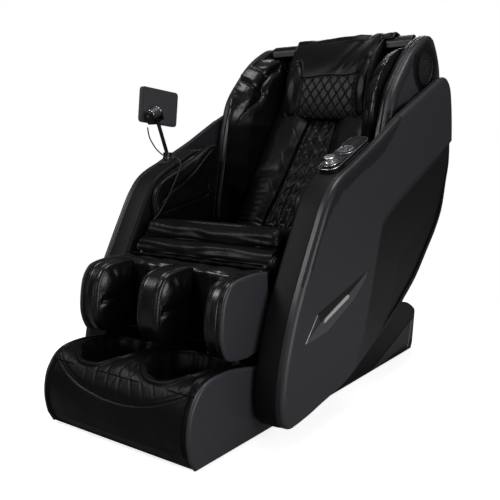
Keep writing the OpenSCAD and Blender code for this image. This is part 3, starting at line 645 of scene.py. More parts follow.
def make_material(name, base, rough, metal=0.0, coat=0.0, coat_rough=0.15, grain=0.0,
                  grain_scale=700.0, wave=0.0, wave_scale=30.0, rough_var=0.06, tint=0.12,
                  spec=0.5, mask=None, mask_rough=None, mask_spec=None):
    """Principled material; mask, mask_rough and mask_spec take over where "mask" is 1.

    tint and rough_var: drift of colour (share) and roughness; grain, wave: bump strengths.
    """
    material = bpy.data.materials.new(name)
    material.use_nodes = True
    tree = material.node_tree
    place = add_node(tree, "TexCoord").outputs["Object"]

    def noise(scale, detail, **more):
        inputs = {"Scale": scale, "Detail": detail, "Vector": place, **more}
        return add_node(tree, "TexNoise", inputs).outputs["Fac"]

    color = add_node(tree, "Mix", {
        "A": (*[value * (1 - tint) for value in base], 1),
        "B": (*[value * (1 + tint) for value in base], 1),
        "Factor": noise(9.0, 5.0)}, data_type="RGBA").outputs["Result"]
    roughness = add_node(tree, "MapRange", {
        "To Min": rough - rough_var, "To Max": rough + rough_var,
        "Value": noise(60.0, 6.0)}).outputs["Result"]
    shader = tree.nodes["Principled BSDF"]
    set_inputs(tree, shader, {"Metallic": metal, "Specular IOR Level": spec,
                              "Coat Weight": coat, "Coat Roughness": coat_rough})
    if mask is not None:
        factor = add_node(tree, "Attribute", attribute_name="mask").outputs["Fac"]
        color = add_node(tree, "Mix", {"A": color, "B": (*mask, 1), "Factor": factor},
                         data_type="RGBA").outputs["Result"]
        roughness = add_node(tree, "Mix", {"A": roughness, "B": mask_rough, "Factor": factor},
                             data_type="FLOAT").outputs["Result"]
        if mask_spec is not None:
            specular = add_node(tree, "Mix", {"A": spec, "B": mask_spec, "Factor": factor},
                                data_type="FLOAT").outputs["Result"]
            set_inputs(tree, shader, {"Specular IOR Level": specular})
    set_inputs(tree, shader, {"Base Color": color, "Roughness": roughness})
    normal = None
    if wave:
        normal = add_bump(tree, noise(wave_scale, 3.0, Distortion=0.6), wave, 0.004, normal)
    if grain:
        cells = add_node(tree, "TexVoronoi", {"Scale": grain_scale, "Vector": place},
                         feature="SMOOTH_F1")
        normal = add_bump(tree, cells.outputs["Distance"], grain, 0.0006, normal)
    if normal is not None:
        set_inputs(tree, shader, {"Normal": normal})
    return material


MATERIAL_VALUES = dict(
    black_leather=dict(base=(0.0028, 0.0028, 0.0030), rough=0.38, rough_var=0.05, spec=0.145,
                       grain=0.22, wave=0.30, wave_scale=22),
    # gloss_leather: where "mask" is 1, a darker, matte copy with little sheen, painted as shade on
    # the low part of the shoulder pads
    gloss_leather=dict(base=(0.0032, 0.0032, 0.0038), rough=0.28, rough_var=0.04, spec=0.40,
                       grain=0.14, wave=0.35, wave_scale=18,
                       mask=(0.0016, 0.0016, 0.0018), mask_rough=0.80, mask_spec=0.06),
    tablet_grey=dict(base=(0.050, 0.051, 0.054), rough=0.36, rough_var=0.04, tint=0.06),
    # piping: lighter and glossier than the leather, partly painted highlight along the shoulder pads'
    # cords
    piping=dict(base=(0.012, 0.012, 0.013), rough=0.24, grain=0.10, spec=0.7),
    satin_black=dict(base=(0.0042, 0.0043, 0.0046), rough=0.52, rough_var=0.03, tint=0.05,
                     spec=0.14, grain=0.10, grain_scale=1400),
    # charcoal: where "mask" is 1, near-black satin: the arm's black band, and behind the crease
    # partly painted shade
    charcoal=dict(base=(0.032, 0.032, 0.038), rough=0.42, rough_var=0.03, tint=0.05, spec=0.42,
                  grain=0.12, grain_scale=1500, mask=(0.0055, 0.0055, 0.0060), mask_rough=0.36),
    dark_shell=dict(base=(0.0040, 0.0040, 0.0045), rough=0.34, rough_var=0.04, tint=0.06, spec=0.30,
                    grain=0.10, grain_scale=1500, mask=(0.036, 0.036, 0.040), mask_rough=0.42),
    frame_steel=dict(base=(0.014, 0.014, 0.015), rough=0.5, metal=0.2, grain=0.2, grain_scale=900),
    bright_steel=dict(base=(0.55, 0.56, 0.58), rough=0.22, rough_var=0.08, metal=1.0),
    silver_trim=dict(base=(0.62, 0.63, 0.65), rough=0.22, rough_var=0.04, metal=1.0),
    key_grey=dict(base=(0.045, 0.045, 0.05), rough=0.30, rough_var=0.03, metal=0.3),
    blade_bright=dict(base=(0.62, 0.62, 0.64), rough=0.30, rough_var=0.03, metal=0.35),
    blade_grey=dict(base=(0.085, 0.085, 0.088), rough=0.34, rough_var=0.03, tint=0.04, metal=0.2,
                    spec=0.45),
    blade_black=dict(base=(0.0045, 0.0045, 0.005), rough=0.45, spec=0.25, grain=0.3,
                     grain_scale=900),
    petal_grey=dict(base=(0.30, 0.30, 0.31), rough=0.26, rough_var=0.03, metal=0.6),
    rubber=dict(base=(0.010, 0.010, 0.010), rough=0.62, spec=0.3, grain=0.3, grain_scale=1000),
    screen=dict(base=(0.004, 0.004, 0.005), rough=0.06, rough_var=0.01, spec=0.6, coat=0.6,
                coat_rough=0.03),
    motor_grey=dict(base=(0.05, 0.05, 0.052), rough=0.42, metal=0.4, grain=0.2),
    unit_steel=dict(base=(0.42, 0.43, 0.44), rough=0.35, metal=0.9, grain=0.15, grain_scale=500),
    circuit_green=dict(base=(0.012, 0.05, 0.02), rough=0.45),
    rocker_red=dict(base=(0.22, 0.012, 0.012), rough=0.35),
    mesh_black=dict(base=(0.004, 0.004, 0.0045), rough=0.5, grain=0.5, grain_scale=420),
)
MATERIALS = {name: make_material(name, **values) for name, values in MATERIAL_VALUES.items()}

# ------------------------------------------------------------------ shared outlines, (Y, Z)
# upper edge of the side panel, from the low front up to the back
arm_line = curve([
    [-452, 56], [-474, 82], [-481, 140], [-470, 215], [-445, 300], [-410, 385], [-362, 475],
    [-312, 565], [-262, 648], [-205, 703], [-95, 752], [25, 805], [110, 848], [188, 888]])
# front face of the back, upwards
back_line = curve([
    [100, 480], [168, 585], [235, 690], [302, 795], [368, 890], [412, 960], [446, 1035],
    [466, 1100], [472, 1132]])
# rear face of the back, upwards
back_rear = curve([
    [292, 366], [355, 470], [420, 571], [488, 676], [555, 781], [597, 900], [614, 1010],
    [606, 1070], [577, 1122], [535, 1168], [505, 1184]])

# ================================================================== side panels
ARM_JOINT_X = 362.2
PANEL_X = 390.0
panel_top = np.vstack([arm_line, curve([
    [264, 922], [387, 974], [500, 1021], [552, 1040], [584, 1036], [606, 1014]])])
panel_low = curve([
    [624, 985], [645, 925], [659, 845], [664, 740], [642, 664], [611, 566], [557, 493],
    [484, 425], [381, 335], [280, 272], [248, 250], [150, 207], [37, 165], [-112, 111],
    [-199, 91], [-336, 73]])[::-1]
# crease between the front field of the panel and the lower field behind it
crease = curve([
    [560, 778], [448, 736], [239, 653], [130, 602], [84, 572], [58, 528], [17, 401],
    [-18, 294], [-70, 180], [-120, 112]])
REAR_OF_CREASE = float(polyline_distance(np.array([300.0]), np.array([500.0]), crease)[2][0])
# width of the black band along the panel's upper edge, at stations along Y
BAND_Y = [-450, -360, -291, -224, -148, -46, 65, 130, 193, 264]
BAND_WIDTH = [10, 14, 19, 36, 42, 43, 46, 30, 10, 6]
BAND_LOWEST_Z = 430


def panel_detail(skin):
    x, y, z = skin.xyz
    distance, share, side = polyline_distance(y, z, crease)
    behind = np.where(side == REAR_OF_CREASE, distance, 0.0)
    fade = 1 - ramp(share, 0.74, 1.0)
    outer = skin.on(OUTER, FIRST_OUTER, OUTER_SECOND)
    # the field behind the crease drops away from it
    drop = (7.5 * ramp(behind, 0, 26) + 9.0 * np.clip(behind / 210, 0, 1)) * fade
    height = np.where(outer & (x > 372), -drop, 0)
    # crown of the outer face
    height = height + np.where(skin.on(OUTER), 1.6 * np.sin(np.pi * np.clip(skin.depth, 0, 1)), 0)
    # behind the crease the mask darkens the charcoal: partly a black field of the panel, partly
    # painted shade of the field that drops away, weaker towards the crease's low front end
    mask = np.where(outer, ramp(behind, 0, 6) * (0.25 + 0.75 * fade), 0)
    mask = np.where(skin.on(FIRST, INNER), 0.55, mask)
    mask = np.where(skin.on(SECOND), 0.9, mask)
    # the arm's black top rolls over the upper edge as a band, with a groove under it
    below_band = polyline_distance(y, z, arm_line)[0] - np.interp(y, BAND_Y, BAND_WIDTH)
    high = z > BAND_LOWEST_Z
    band = (1 - ramp(below_band, -2.0, 0.6)) * high
    band = band * skin.on(FIRST, OUTER, INNER_FIRST, FIRST_OUTER)
    height = height - 1.5 * ridge(below_band, 1.7) * outer * high * (y > -400) + 0.9 * band * outer
    return height, mask + (0.66 - mask) * band


# Blade-shaped recess in the panel: six outline corners, and a keel sunk under the face
blade = np.array([
    [-12, 426], [-320, 347], [-390, 271], [-262, 282], [-108, 345], [-25, 403]], float)
keel = np.array([[-288, 315], [-141, 360]], float)
BLADE_CLEAR_X = 394.0    # outside the panel
BLADE_RIM_X = 391.2
KEEL_X = 383.4


def blade_cutter():
    """A faceted wedge with its keel under the panel's face."""
    count = len(blade)
    vertices = ([[BLADE_CLEAR_X, *point] for point in blade]
                + [[BLADE_RIM_X, *point] for point in blade]
                + [[KEEL_X, *point] for point in keel])
    faces = [list(range(count))]
    faces += [[(i + 1) % count, i, count + i, count + (i + 1) % count] for i in range(count)]
    faces += [[6, 13, 12, 7], [7, 12, 8], [8, 12, 9], [9, 12, 13, 10], [10, 13, 11], [11, 13, 6]]
    ob = to_mesh("blade_cut", vertices, faces)
    recalc_normals(ob, triangulate=True)
    return ob


CUTTERS = [blade_cutter()]
hard("side_panel_left_shell",
     leaf(panel_top, panel_low, ARM_JOINT_X, PANEL_X, radii=(1.5, 17, 11, 3),
          shares=(0.09, 0.56, 0.07, 0.10), ends=(9, 9), bulge=1.0, cap=0.02, edge=0.05),
     (330, 150), "seat", "charcoal", "charcoal", ["side_panel_left"], detail=panel_detail,
     mirror=True, cut=CUTTERS[0], angle=22)

# ------------------------------------------------------------------ arm boxes
arm_low = np.vstack([[[-336, 75], [-199, 93], [-60, 128]], curve([
    [92, 790], [62, 700], [36, 600], [12, 480], [-10, 330], [-30, 200]])[::-1]])


def arm_detail(skin):
    x = skin.xyz[0]
    height = np.where(skin.on(FIRST), 1.8 * (1 - skin.across ** 2), 0)
    # panel line near the inner edge of the top
    return height - np.where(skin.on(FIRST, INNER_FIRST), 1.1 * ridge(x - 296.5, 1.2), 0)


hard("armrest_left_box",
     leaf(arm_line[:-20], arm_low, 290.0, 362.4, radii=(9, 0.8, 3, 6),
          shares=(0.34, 0.14, 0.16, 0.24), ends=(6, 6), bulge=0.5, cap=0.02, edge=0.05),
     (220, 110), "seat", "satin_black", "satin_black", ["armrest_left"], detail=arm_detail,
     mirror=True)

# ------------------------------------------------------------------ inlays of the blade recess
INLAY_INSET = 0.05    # share of the way from the rim to the keel


def inlay_corners():
    """The blade's six corners, drawn in a little (0 to 5), and the keel (6 and 7)."""
    corners = []
    for point in blade:
        target = keel[0] if point[0] < -250 else keel[1]
        corners.append([BLADE_RIM_X + (KEEL_X - BLADE_RIM_X) * INLAY_INSET,
                        *(point + (target - point) * INLAY_INSET)])
    return np.array(corners + [[KEEL_X, *point] for point in keel])


def blade_inlay(name, way, ring, facets, material):
    """A thin faceted plate; ring is its border and facets its faces, as corner numbers."""
    border = inlay_corners()[ring]
    count = len(ring)
    vertices = np.vstack([border + [0.30, 0, 0], border - [0.9, 0, 0]]) * [way, 1, 1]
    top = [[ring.index(i) for i in facet] for facet in facets]
    under = [[count + i for i in facet][::-1] for facet in top]
    rim = [[j, count + j, count + (j + 1) % count, (j + 1) % count] for j in range(count)]
    ob = to_mesh(name, vertices, top + under + rim, 10)
    recalc_normals(ob)
    ob.data.set_sharp_from_angle(angle=math.radians(10))
    finish(ob, "seat", material, "charcoal")


for way, side in SIDES:
    blade_inlay("blade_upper_" + side, way, [1, 6, 7, 0], [[1, 6, 7], [1, 7, 0]], "blade_black")
    blade_inlay("blade_lower_" + side, way, [2, 3, 4, 5, 0, 7, 6],
                [[2, 3, 6], [3, 4, 7, 6], [4, 5, 7], [5, 0, 7]], "blade_grey")

# metal strips in the recess: one along the keel, a thin one along the front edge
keel_strip = [[-276, 310], [-268, 323], [-140, 368], [-131, 362], [-139, 355]]
edge_strip = [[-384, 273], [-321, 344], [-316.5, 342], [-378, 272]]
for way, side in SIDES:
    for name, outline, x_start, x_end, ends, replaces in (
            ("strip", keel_strip, 383.6, 388.6, (0.4, 1.2), ["accent_blades"] if way > 0 else ()),
            ("edge", edge_strip, 386.0, 390.7, (0.3, 0.8), ())):
        hard("blade_%s_%s" % (name, side),
             prism(outline, way * x_start, way * x_end, ends, bulge=0.1, cap=0.1, edge=0.3),
             (16, 64), "seat", "blade_bright", "silver_trim", replaces, angle=25)

# ------------------------------------------------------------------ arm pads
pad_top = curve([[-262, 590], [-244, 652], [-196, 693], [-92, 740], [20, 790], [74, 800]])
pad_low = curve([
    [-258, 556], [-200, 508], [-110, 499], [-60, 500], [16, 522], [34, 610], [60, 720]])
PAD_FOLDS = ((0.30, 0.3), (0.62, 1.7))    # depth share of each fold, phase of its puckers
# creases of the inner face: points and depth
PAD_CREASES = (
    ([[-226, 612], [-170, 650], [-101, 691], [0, 760], [112, 834]], 4.2),
    ([[-226, 578], [-130, 596], [-31, 618], [70, 642], [170, 670]], 4.2),
    ([[-104, 778], [-20, 810], [72, 845]], 2.6))


def arm_pad_pin(skin):
    weight = np.where(skin.on(OUTER, FIRST_OUTER, OUTER_SECOND), 1.0, 0)
    for depth, _ in PAD_FOLDS:
        weight = np.maximum(weight, ridge(skin.depth - depth, 0.014) * skin.on(INNER))
    return weight


def arm_pad_detail(skin):
    _, y, z = skin.xyz
    height = 1.6 * ridge(skin.depth - 0.03, 0.012)    # piped edge
    for line, sink in PAD_CREASES:
        distance = polyline_distance(y, z, curve(line, 40))[0]
        height = height - sink * ridge(distance, 2.6) + 1.2 * ridge(distance - 13, 9)
    for depth, phase in PAD_FOLDS:    # soft puckers that run off the folds
        waves = np.sin(skin.place * 0.16 + phase + 3 * np.sin(skin.place * 0.021))
        height = height + 0.55 * ridge(skin.depth - depth, 0.10) * waves
    return height * skin.on(INNER)


soft("arm_pad_left_cover",
     leaf(pad_top, pad_low, 265.0, 289.0, radii=(9, 2, 2, 9), shares=(0.10, 0.12, 0.10, 0.48),
          ends=(9, 9), bulge=2),
     (44, 56), (190, 170), "seat", replaces=["arm_pad_left"], pin=arm_pad_pin,
     detail=arm_pad_detail, pressure=3.0, limit=7, grow=0.022, bend=1.0, soften=3, mirror=True)

# ================================================================== seat cushion
seat_outline = np.vstack([
    curve([[-316, 484], [-319, 505], [-318, 528], [-310, 546], [-287, 553], [-250, 551],
           [-190, 543], [-100, 526], [0, 508], [84, 492]]),
    [[62, 447], [-40, 447], [-140, 447], [-225, 448], [-268, 457], [-300, 469]]])
# seams across the front roll, as (Y, Z): half way up, and at the top
SEAT_SEAMS = ((-320, 511), (-297, 552))


def seat_pin(skin):
    _, y, z = skin.xyz
    weight = np.maximum(ramp(-z, -470, -452) * (y > -290), skin.scale < 0.9)
    for seam_y, seam_z in SEAT_SEAMS:
        weight = np.maximum(weight, ridge(np.hypot(y - seam_y, z - seam_z), 5.0))
    return weight


def seat_detail(skin):
    x, y, z = skin.xyz
    side_x = np.abs(x)
    (low_y, low_z), (top_y, top_z) = SEAT_SEAMS
    # the two seams, slightly wavy, and a swelling between them
    height = -6.0 * ridge(np.hypot(y - low_y, z - low_z + 3 * np.sin(x * 0.02)), 4.0)
    height -= 2.2 * ridge(np.hypot(y - top_y, z - top_z + 2.0 * np.sin(x * 0.017 + 1)), 3.0)
    height += 1.5 * ridge(np.hypot(y + 306, z - 549), 4.0)
    # crown of the seat's face; the front roll rises towards the arms
    full = skin.scale > 0.99
    top = full & (z > 485)
    height += np.where(top & (y > -270), 4.0 * (1 - (x / 250) ** 2), 0)
    height += 9.0 * ramp(side_x, 130, 235) * ridge(y + 288, 34) * (z > 520) * full
    # long shallow folds along the front roll
    front = ramp(-y, 296, 312) * (z > 485)
    waves = np.sin(z * 0.20 + 1.6 * np.sin(x * 0.016) + 0.8 * np.sin(x * 0.041 + 1))
    height += front * 1.3 * waves * (0.5 + 0.5 * np.sin(x * 0.013 + 2))
    height += front * np.sin((z + 0.06 * x) * 0.33 + 0.7) * ramp(side_x, 60, 200)
    # gathers along the seams, stronger in the corners
    for i, (seam_y, seam_z) in enumerate(SEAT_SEAMS):
        distance = np.hypot(y - seam_y, z - seam_z)
        strength = 0.25 + 0.75 * ramp(side_x, 110, 240)
        waves = np.sin(x * 0.17 + 2.2 * np.sin(x * 0.037 + i) + i * 1.3)
        height += 0.8 * strength * ridge(distance - 8, 8) * waves
    # two lengthwise seams on the top, behind the front roll
    for way, _ in SIDES:
        height -= 3.2 * ramp(y, -250, -215) * ridge(x - way * 128, 3.6) * top
    # folds where the back meets the seat
    waves = np.sin(y * 0.26 + 1.3 * np.sin(x * 0.035) + x * 0.03)
    height += (top * 2.2 * ramp(y, -90, 60) * waves
               * (0.4 + 0.6 * np.abs(np.sin(x * 0.019 + 0.4))))
    return height


soft("seat_cushion_cover",
     prism(seat_outline, -249, 249, ends=(17, 17), bulge=3, cap=0.05, edge=0.12),
     (70, 90), (240, 330), "seat", replaces=["seat_cushion"], pin=seat_pin, detail=seat_detail,
     pressure=4.0, limit=9, grow=0.012, bend=2.0, soften=4)

# ================================================================== back cushion
WIDE_SHARES = (0.62, 0.045, 0.12, 0.045)    # most points on the first face
BACK_QUILT = dict(slope=1.25, pitch=58)


def quilt_lines(skin, slope, pitch, width):
    """Ridges along the two sets of slanting quilting lines."""
    x = skin.xyz[0]
    return [ridge(np.mod(skin.place + way * x * slope, pitch) - pitch / 2, width)
            for way in (1, -1)]


def back_seam_x(z):
    """Half width of the centre strip of the back, narrower towards the head."""
    return np.interp(z, [480, 546, 615, 700, 865, 1140], [102, 98, 86, 76, 60, 58])


def back_pin(skin):
    x, _, z = skin.xyz
    side_x, seam = np.abs(x), back_seam_x(z)
    front = skin.on(FIRST)
    weight = np.maximum(ridge(side_x - seam, 6.0) * front, skin.on(SECOND))
    weight = np.maximum(weight, ridge(side_x - 224, 5) * (skin.depth < 0.6))
    strip = (side_x < seam - 8) & front
    quilt = np.maximum(*quilt_lines(skin, width=4, **BACK_QUILT))
    return np.maximum(weight, quilt * strip * 0.8)


def back_detail(skin):
    x, _, z = skin.xyz
    place, side_x, seam = skin.place, np.abs(x), back_seam_x(z)
    beyond = side_x - seam
    # the seams; the strip between them sits lower, the bolsters beside it higher
    height = -12.0 * ridge(beyond, 4.2) - 5.0 * ramp(-beyond, 2, 14)
    height += 7.0 * ramp(beyond, 4, 40) * ramp(232 - side_x, 2, 30)
    # diamond quilting of the strip
    strip = ramp(-beyond, 4, 12)
    height -= strip * 2.6 * sum(quilt_lines(skin, width=3.2, **BACK_QUILT))
    # upright pleats of the loose strip
    pleats = np.sin(x * 0.155 + 0.9 * np.sin(place * 0.019 + 0.6) + 0.35 * np.sin(place * 0.047))
    height += (strip * (2.6 + 1.6 * ramp(-place, -330, -80)) * pleats
               * (0.65 + 0.35 * np.sin(place * 0.013 + 1)))
    # gathers across the side bolsters, strongest low down and near the outer seam
    low = 1 - ramp(place, 60, 330)
    outward = ramp(side_x, seam + 8, 150) * 0.35 + ramp(side_x, 140, 214) * 0.65
    waves = np.sin(place * 0.255 + 1.1 * np.sin(side_x * 0.045)
                   + 0.5 * np.sin(place * 0.07 + x * 0.02))
    height += low * outward * 2.3 * waves * ramp(beyond, 6, 22)
    waves = np.sin(place * 0.34 + x * 0.028 + 1.2 * np.sin(x * 0.06))
    height += (1 - ramp(place, 15, 85)) * 3.0 * waves * ramp(side_x, 8, 40)
    # slanting creases beside the seam
    creases = ridge(np.mod(place * 0.8 - beyond * 1.1 + 25, 96) - 48, 3.6) * ridge(beyond - 24, 24)
    height -= 2.0 * creases * ramp(place, 120, 180) * (1 - ramp(place, 430, 520))
    # piping along the outer edge
    height += 1.8 * ridge(side_x - 221, 2.6)
    return height * skin.on(FIRST)


soft("back_cushion_cover",
     leaf(back_line, aside(back_line, 50), -231, 231, radii=(24, 24, 8, 8), shares=WIDE_SHARES,
          ends=(15, 10), bulge=3, cap=0.03, edge=0.09),
     (80, 96), (330, 330), "backrest", replaces=["back_cushion"], pin=back_pin,
     detail=back_detail, pressure=4.0, limit=11, grow=0.022, bend=1.0, soften=2)

# ------------------------------------------------------------------ shoulder pads
shoulder_front = curve([
    [148, 640], [158, 740], [168, 850], [180, 930], [198, 985], [226, 1030], [262, 1066],
    [308, 1100], [362, 1124], [420, 1136]])
shoulder_rear = curve([
    [206, 600], [280, 700], [345, 800], [404, 900], [436, 960], [452, 1000], [462, 1040],
    [466, 1070], [468, 1096], [466, 1112]])
SHOULDER_X = 298.5
seam_low = curve([[196, 1004], [214, 1030], [232, 1045], [262, 1020], [289, 995], [316, 990]])
seam_mid = curve([
    [196, 880], [212, 908], [236, 934], [269, 951], [300, 968], [322, 990], [312, 1006],
    [326, 1026], [350, 1048], [384, 1074], [428, 1092]])
seam_top = curve([
    [340, 1062], [331, 1080], [321, 1097], [343, 1117], [378, 1133], [430, 1146], [452, 1150]])


def shoulder_shape(skin):
    """The pad leans inwards: its inner edge lies further back than its outer one."""
    x, y, z = skin.xyz
    lean = np.clip((SHOULDER_X - x) / 57.5, 0, 1) * (1 - np.clip(skin.depth / 0.6, 0, 1))
    y += 44 * lean
    z -= 6 * lean


def shoulder_seams(skin):
    _, y, z = skin.xyz
    return [polyline_distance(y, z, seam)[0] for seam in (seam_low, seam_mid, seam_top)]


def shoulder_pin(skin):
    near = np.minimum.reduce(shoulder_seams(skin))
    return np.maximum(skin.on(OUTER), ridge(near, 6.0) * (skin.xyz[0] < 297))


def shoulder_detail(skin):
    x, y, z = skin.xyz
    seams = low, mid, top = shoulder_seams(skin)
    height = -7.0 * ridge(low, 5.0) - 5.5 * ridge(mid, 5.0) - 5.0 * ridge(top, 5.0)
    # puffed cells between the seams
    height += 5.0 * ramp(np.minimum.reduce(seams), 4, 30)
    # pinched folds beside the low seam, long waves under it
    height += 1.6 * ridge(low, 34) * np.sin(y * 0.13 + z * 0.10 + 1.2 * np.sin(y * 0.05))
    height += 0.9 * np.sin(z * 0.075 + y * 0.02) * (z < 940)
    # the returned mask paints shade: the pad's low part, below about z 862 to 915, turns darker and
    # matte with little sheen
    return height * (x < 297), 1 - ramp(z, 862, 915)


soft("shoulder_pad_left_cover",
     leaf(shoulder_front, shoulder_rear, 243, SHOULDER_X, radii=(20, 6, 6, 14),
          shares=(0.30, 0.06, 0.10, 0.34), ends=(16, 14), bulge=4),
     (60, 70), (250, 190), "backrest", replaces=["shoulder_pad_left"], pin=shoulder_pin,
     detail=shoulder_detail, shape=shoulder_shape, pressure=3.5, limit=7, grow=0.012, bend=2.0,
     soften=5, material="gloss_leather", mirror=True)

# ------------------------------------------------------------------ head pillow
pillow_front = curve([
    [366, 888], [351, 900], [356, 960], [374, 1040], [406, 1112], [444, 1164], [472, 1187]])
pillow_rear = curve([
    [371, 897], [404, 962], [438, 1036], [457, 1100], [461, 1138], [464, 1172], [478, 1184]])
PILLOW_QUILT = dict(slope=1.35, pitch=50)


def pillow_seam_z(x):
    """Height of the seam above the quilted field."""
    return 1072 - 24 * np.cos(np.clip(x / 185, -1, 1) * math.pi / 2) + 6 * np.cos(x * 0.03)


def pillow_oval(skin):
    """Rough distance from the outline of the oval side bolsters, negative inside them."""
    x, _, z = skin.xyz
    centre = np.where(x > 0, 158.0, 139.0)
    width = np.where(x > 0, 31.0, 36.0)
    return (np.sqrt(((np.abs(x) - centre) / width) ** 2 + ((z - 1003) / 102.0) ** 2) - 1) * 36


def pillow_pin(skin):
    x, _, z = skin.xyz
    front, oval, seam = skin.on(FIRST), pillow_oval(skin), pillow_seam_z(x)
    weight = np.maximum(skin.on(SECOND), front * ridge(oval, 5.0))
    weight = np.maximum(weight, front * ridge(z - seam, 5.0) * (oval > 0))
    field = (oval > 4) & (np.abs(x) < 150) & (z < seam) & front
    quilt = np.maximum(*quilt_lines(skin, width=4, **PILLOW_QUILT))
    return np.maximum(weight, quilt * field * 0.75)


def pillow_detail(skin):
    x, _, z = skin.xyz
    side_x, oval, seam = np.abs(x), pillow_oval(skin), pillow_seam_z(x)
    # groove and bead round the bolsters, which stand proud
    height = -4.5 * ridge(oval, 3.0) + 2.0 * ridge(oval - 6, 2.4) + 9.0 * ramp(-oval, 0, 26)
    # sunk, quilted field below the seam
    height -= 4.0 * ridge(z - seam, 2.6) * (oval > 0)
    field = ramp(seam - z, 0, 6) * ramp(oval, 0, 5) * (side_x < 160)
    height -= field * (3.5 + 2.4 * sum(quilt_lines(skin, width=3.4, **PILLOW_QUILT)))
    # one long slanting fold over the smooth upper panel, and weaker ones beside it
    upper = ramp(z - seam, 6, 40)
    line = (x - 62) - (z - 1080) * 0.75
    height += upper * (5.5 * ridge(line, 17.0) - 3.6 * ridge(line + 34, 18)
                       + 3.0 * ridge(line - 56, 20) + 1.2 * np.sin((x * 0.6 - z) * 0.034 + 0.8))
    # edge piping
    height += 2.2 * ridge(side_x - np.where(x > 0, 187.0, 172.0), 3.0)
    return height * skin.on(FIRST)


def pillow_shape(skin):
    """The loose pillow hangs a little lower on its left side."""
    x, y, z = skin.xyz
    sag = (x / 190.0) * (1 - ramp(z, 900, 1090))
    z -= 8 * sag
    y -= 4 * sag


soft("head_pillow_cover",
     leaf(pillow_front, pillow_rear, -181, 196, radii=(26, 26, 10, 10), shares=WIDE_SHARES,
          ends=(8, 6), bulge=1, cap=0.04, edge=0.10),
     (64, 96), (260, 330), "pillow", replaces=["head_pillow"], pin=pillow_pin,
     detail=pillow_detail, shape=pillow_shape, pressure=4.0, limit=8, grow=0.015, bend=1.0,
     soften=3)

# ------------------------------------------------------------------ flap over the back's top
SHEET_SHARES = (0.46, 0.02, 0.42, 0.02)    # nearly all points on the two broad faces
pillow_flap_out = curve([
    [466, 1183], [482, 1200], [505, 1201], [530, 1189], [556, 1163], [584, 1131], [606, 1100],
    [616, 1066]])
pillow_flap_in = curve([
    [469, 1176], [484, 1192], [505, 1194], [527, 1182], [551, 1157], [579, 1125], [600, 1096],
    [610, 1062]])


def pillow_flap_pin(skin):
    return skin.on(SECOND) * 1.0 + skin.on(FIRST) * 0.15


def pillow_flap_detail(skin):
    x, place = skin.xyz[0], skin.place
    outside = skin.on(FIRST) * 1.0 + skin.on(INNER_FIRST, FIRST_OUTER) * 0.5
    height = 1.4 * np.sin(x * 0.030 - place * 0.022 + 0.9) * ramp(place, 0, 25)
    # slanting folds, then the piping
    line = x - 128 - place * 0.9
    height += (4.4 * ridge(line, 9.0) - 2.6 * ridge(line + 24, 13) + 2.4 * ridge(line + 70, 16)
               + 2.0 * ridge(line - 46, 12))
    height += 1.8 * ridge(x - 219, 2.6)
    return height * outside


soft("pillow_flap",
     leaf(pillow_flap_out, pillow_flap_in, -178, 226, radii=(2.5, 2.5, 2.0, 2.0),
          shares=SHEET_SHARES, ends=(3, 3), bulge=0.5, cap=0.03, edge=0.08),
     (40, 90), (90, 260), "backrest", pin=pillow_flap_pin, detail=pillow_flap_detail,
     pressure=1.5, limit=4, grow=0.05)

# ------------------------------------------------------------------ wings and speakers
wing_front = curve([
    [118, 520], [128, 620], [160, 760], [196, 893], [228, 972], [300, 1053], [370, 1116],
    [450, 1163], [498, 1182]])
wing_rear = np.vstack([[[138, 462], [180, 420], [240, 380]], curve([
    [292, 366], [355, 470], [420, 571], [488, 676], [555, 781], [597, 900], [614, 1010],
    [606, 1070], [577, 1123], [535, 1170]])])
SPEAKER_Y, SPEAKER_Z = 470, 1068
SPEAKER_TILT = math.radians(22)


def speaker_oval(angles, long, short):
    """Side-view coordinates of the tilted speaker oval with the given half axes."""
    along, over = long * np.cos(angles), short * np.sin(angles)
    return (SPEAKER_Y + along * math.cos(SPEAKER_TILT) - over * math.sin(SPEAKER_TILT),
            SPEAKER_Z + along * math.sin(SPEAKER_TILT) + over * math.cos(SPEAKER_TILT))


def full_turn(count):
    return np.arange(count) / count * 2 * math.pi


def speaker_cutter(count=72, x_start=330, x_end=372):
    y, z = speaker_oval(full_turn(count), 79, 68)
    vertices = np.vstack([np.column_stack([np.full(count, x), y, z]) for x in (x_start, x_end)])
    faces = [list(range(count))[::-1], list(range(count, 2 * count))]
    faces += [[i, (i + 1) % count, count + (i + 1) % count, count + i] for i in range(count)]
    ob = to_mesh("speaker_cut", vertices, faces)
    ob.data.polygons.foreach_set("use_smooth", [False] * len(ob.data.polygons))
    return ob


def wing_detail(skin):
    x, y, z = skin.xyz
    outer, front = skin.on(OUTER), skin.on(FIRST)
    rim = polyline_distance(y, z, sample(wing_front, np.linspace(0, 1, 60)))[0]
    # panel line round the rim, with the field behind it lower
    height = outer * (-1.8 * ridge(rim - 30, 1.8) - 2.2 * ramp(rim, 30, 36))
    # crown and panel line of the front edge
    height += front * (2.2 * (1 - skin.across ** 2) - 2.0 * ridge(x - 322, 1.8))
    # raised collar round the speaker
    oval = ((y - SPEAKER_Y) / 92.0) ** 2 + ((z - SPEAKER_Z) / 80.0) ** 2
    height += outer * 2.2 * ridge(np.sqrt(oval) - 1.0, 0.06)
    # light field, dimmer edges, dark round the speaker and below the arm's line
    field = outer * ramp(rim, 30, 34)
    mask = field + (1 - field) * 0.62 * ramp(x, 321, 325) * ~skin.on(SECOND)
    mask = mask * (1 - 0.98 * ridge(np.minimum(oval, 1.0) - 1.0, 0.30) * (oval < 1.35) * outer)
    above = ramp(z - np.interp(y, [100, 190, 300], [845, 905, 940]), -8, 8)
    return height, mask * (0.06 + 0.94 * above)


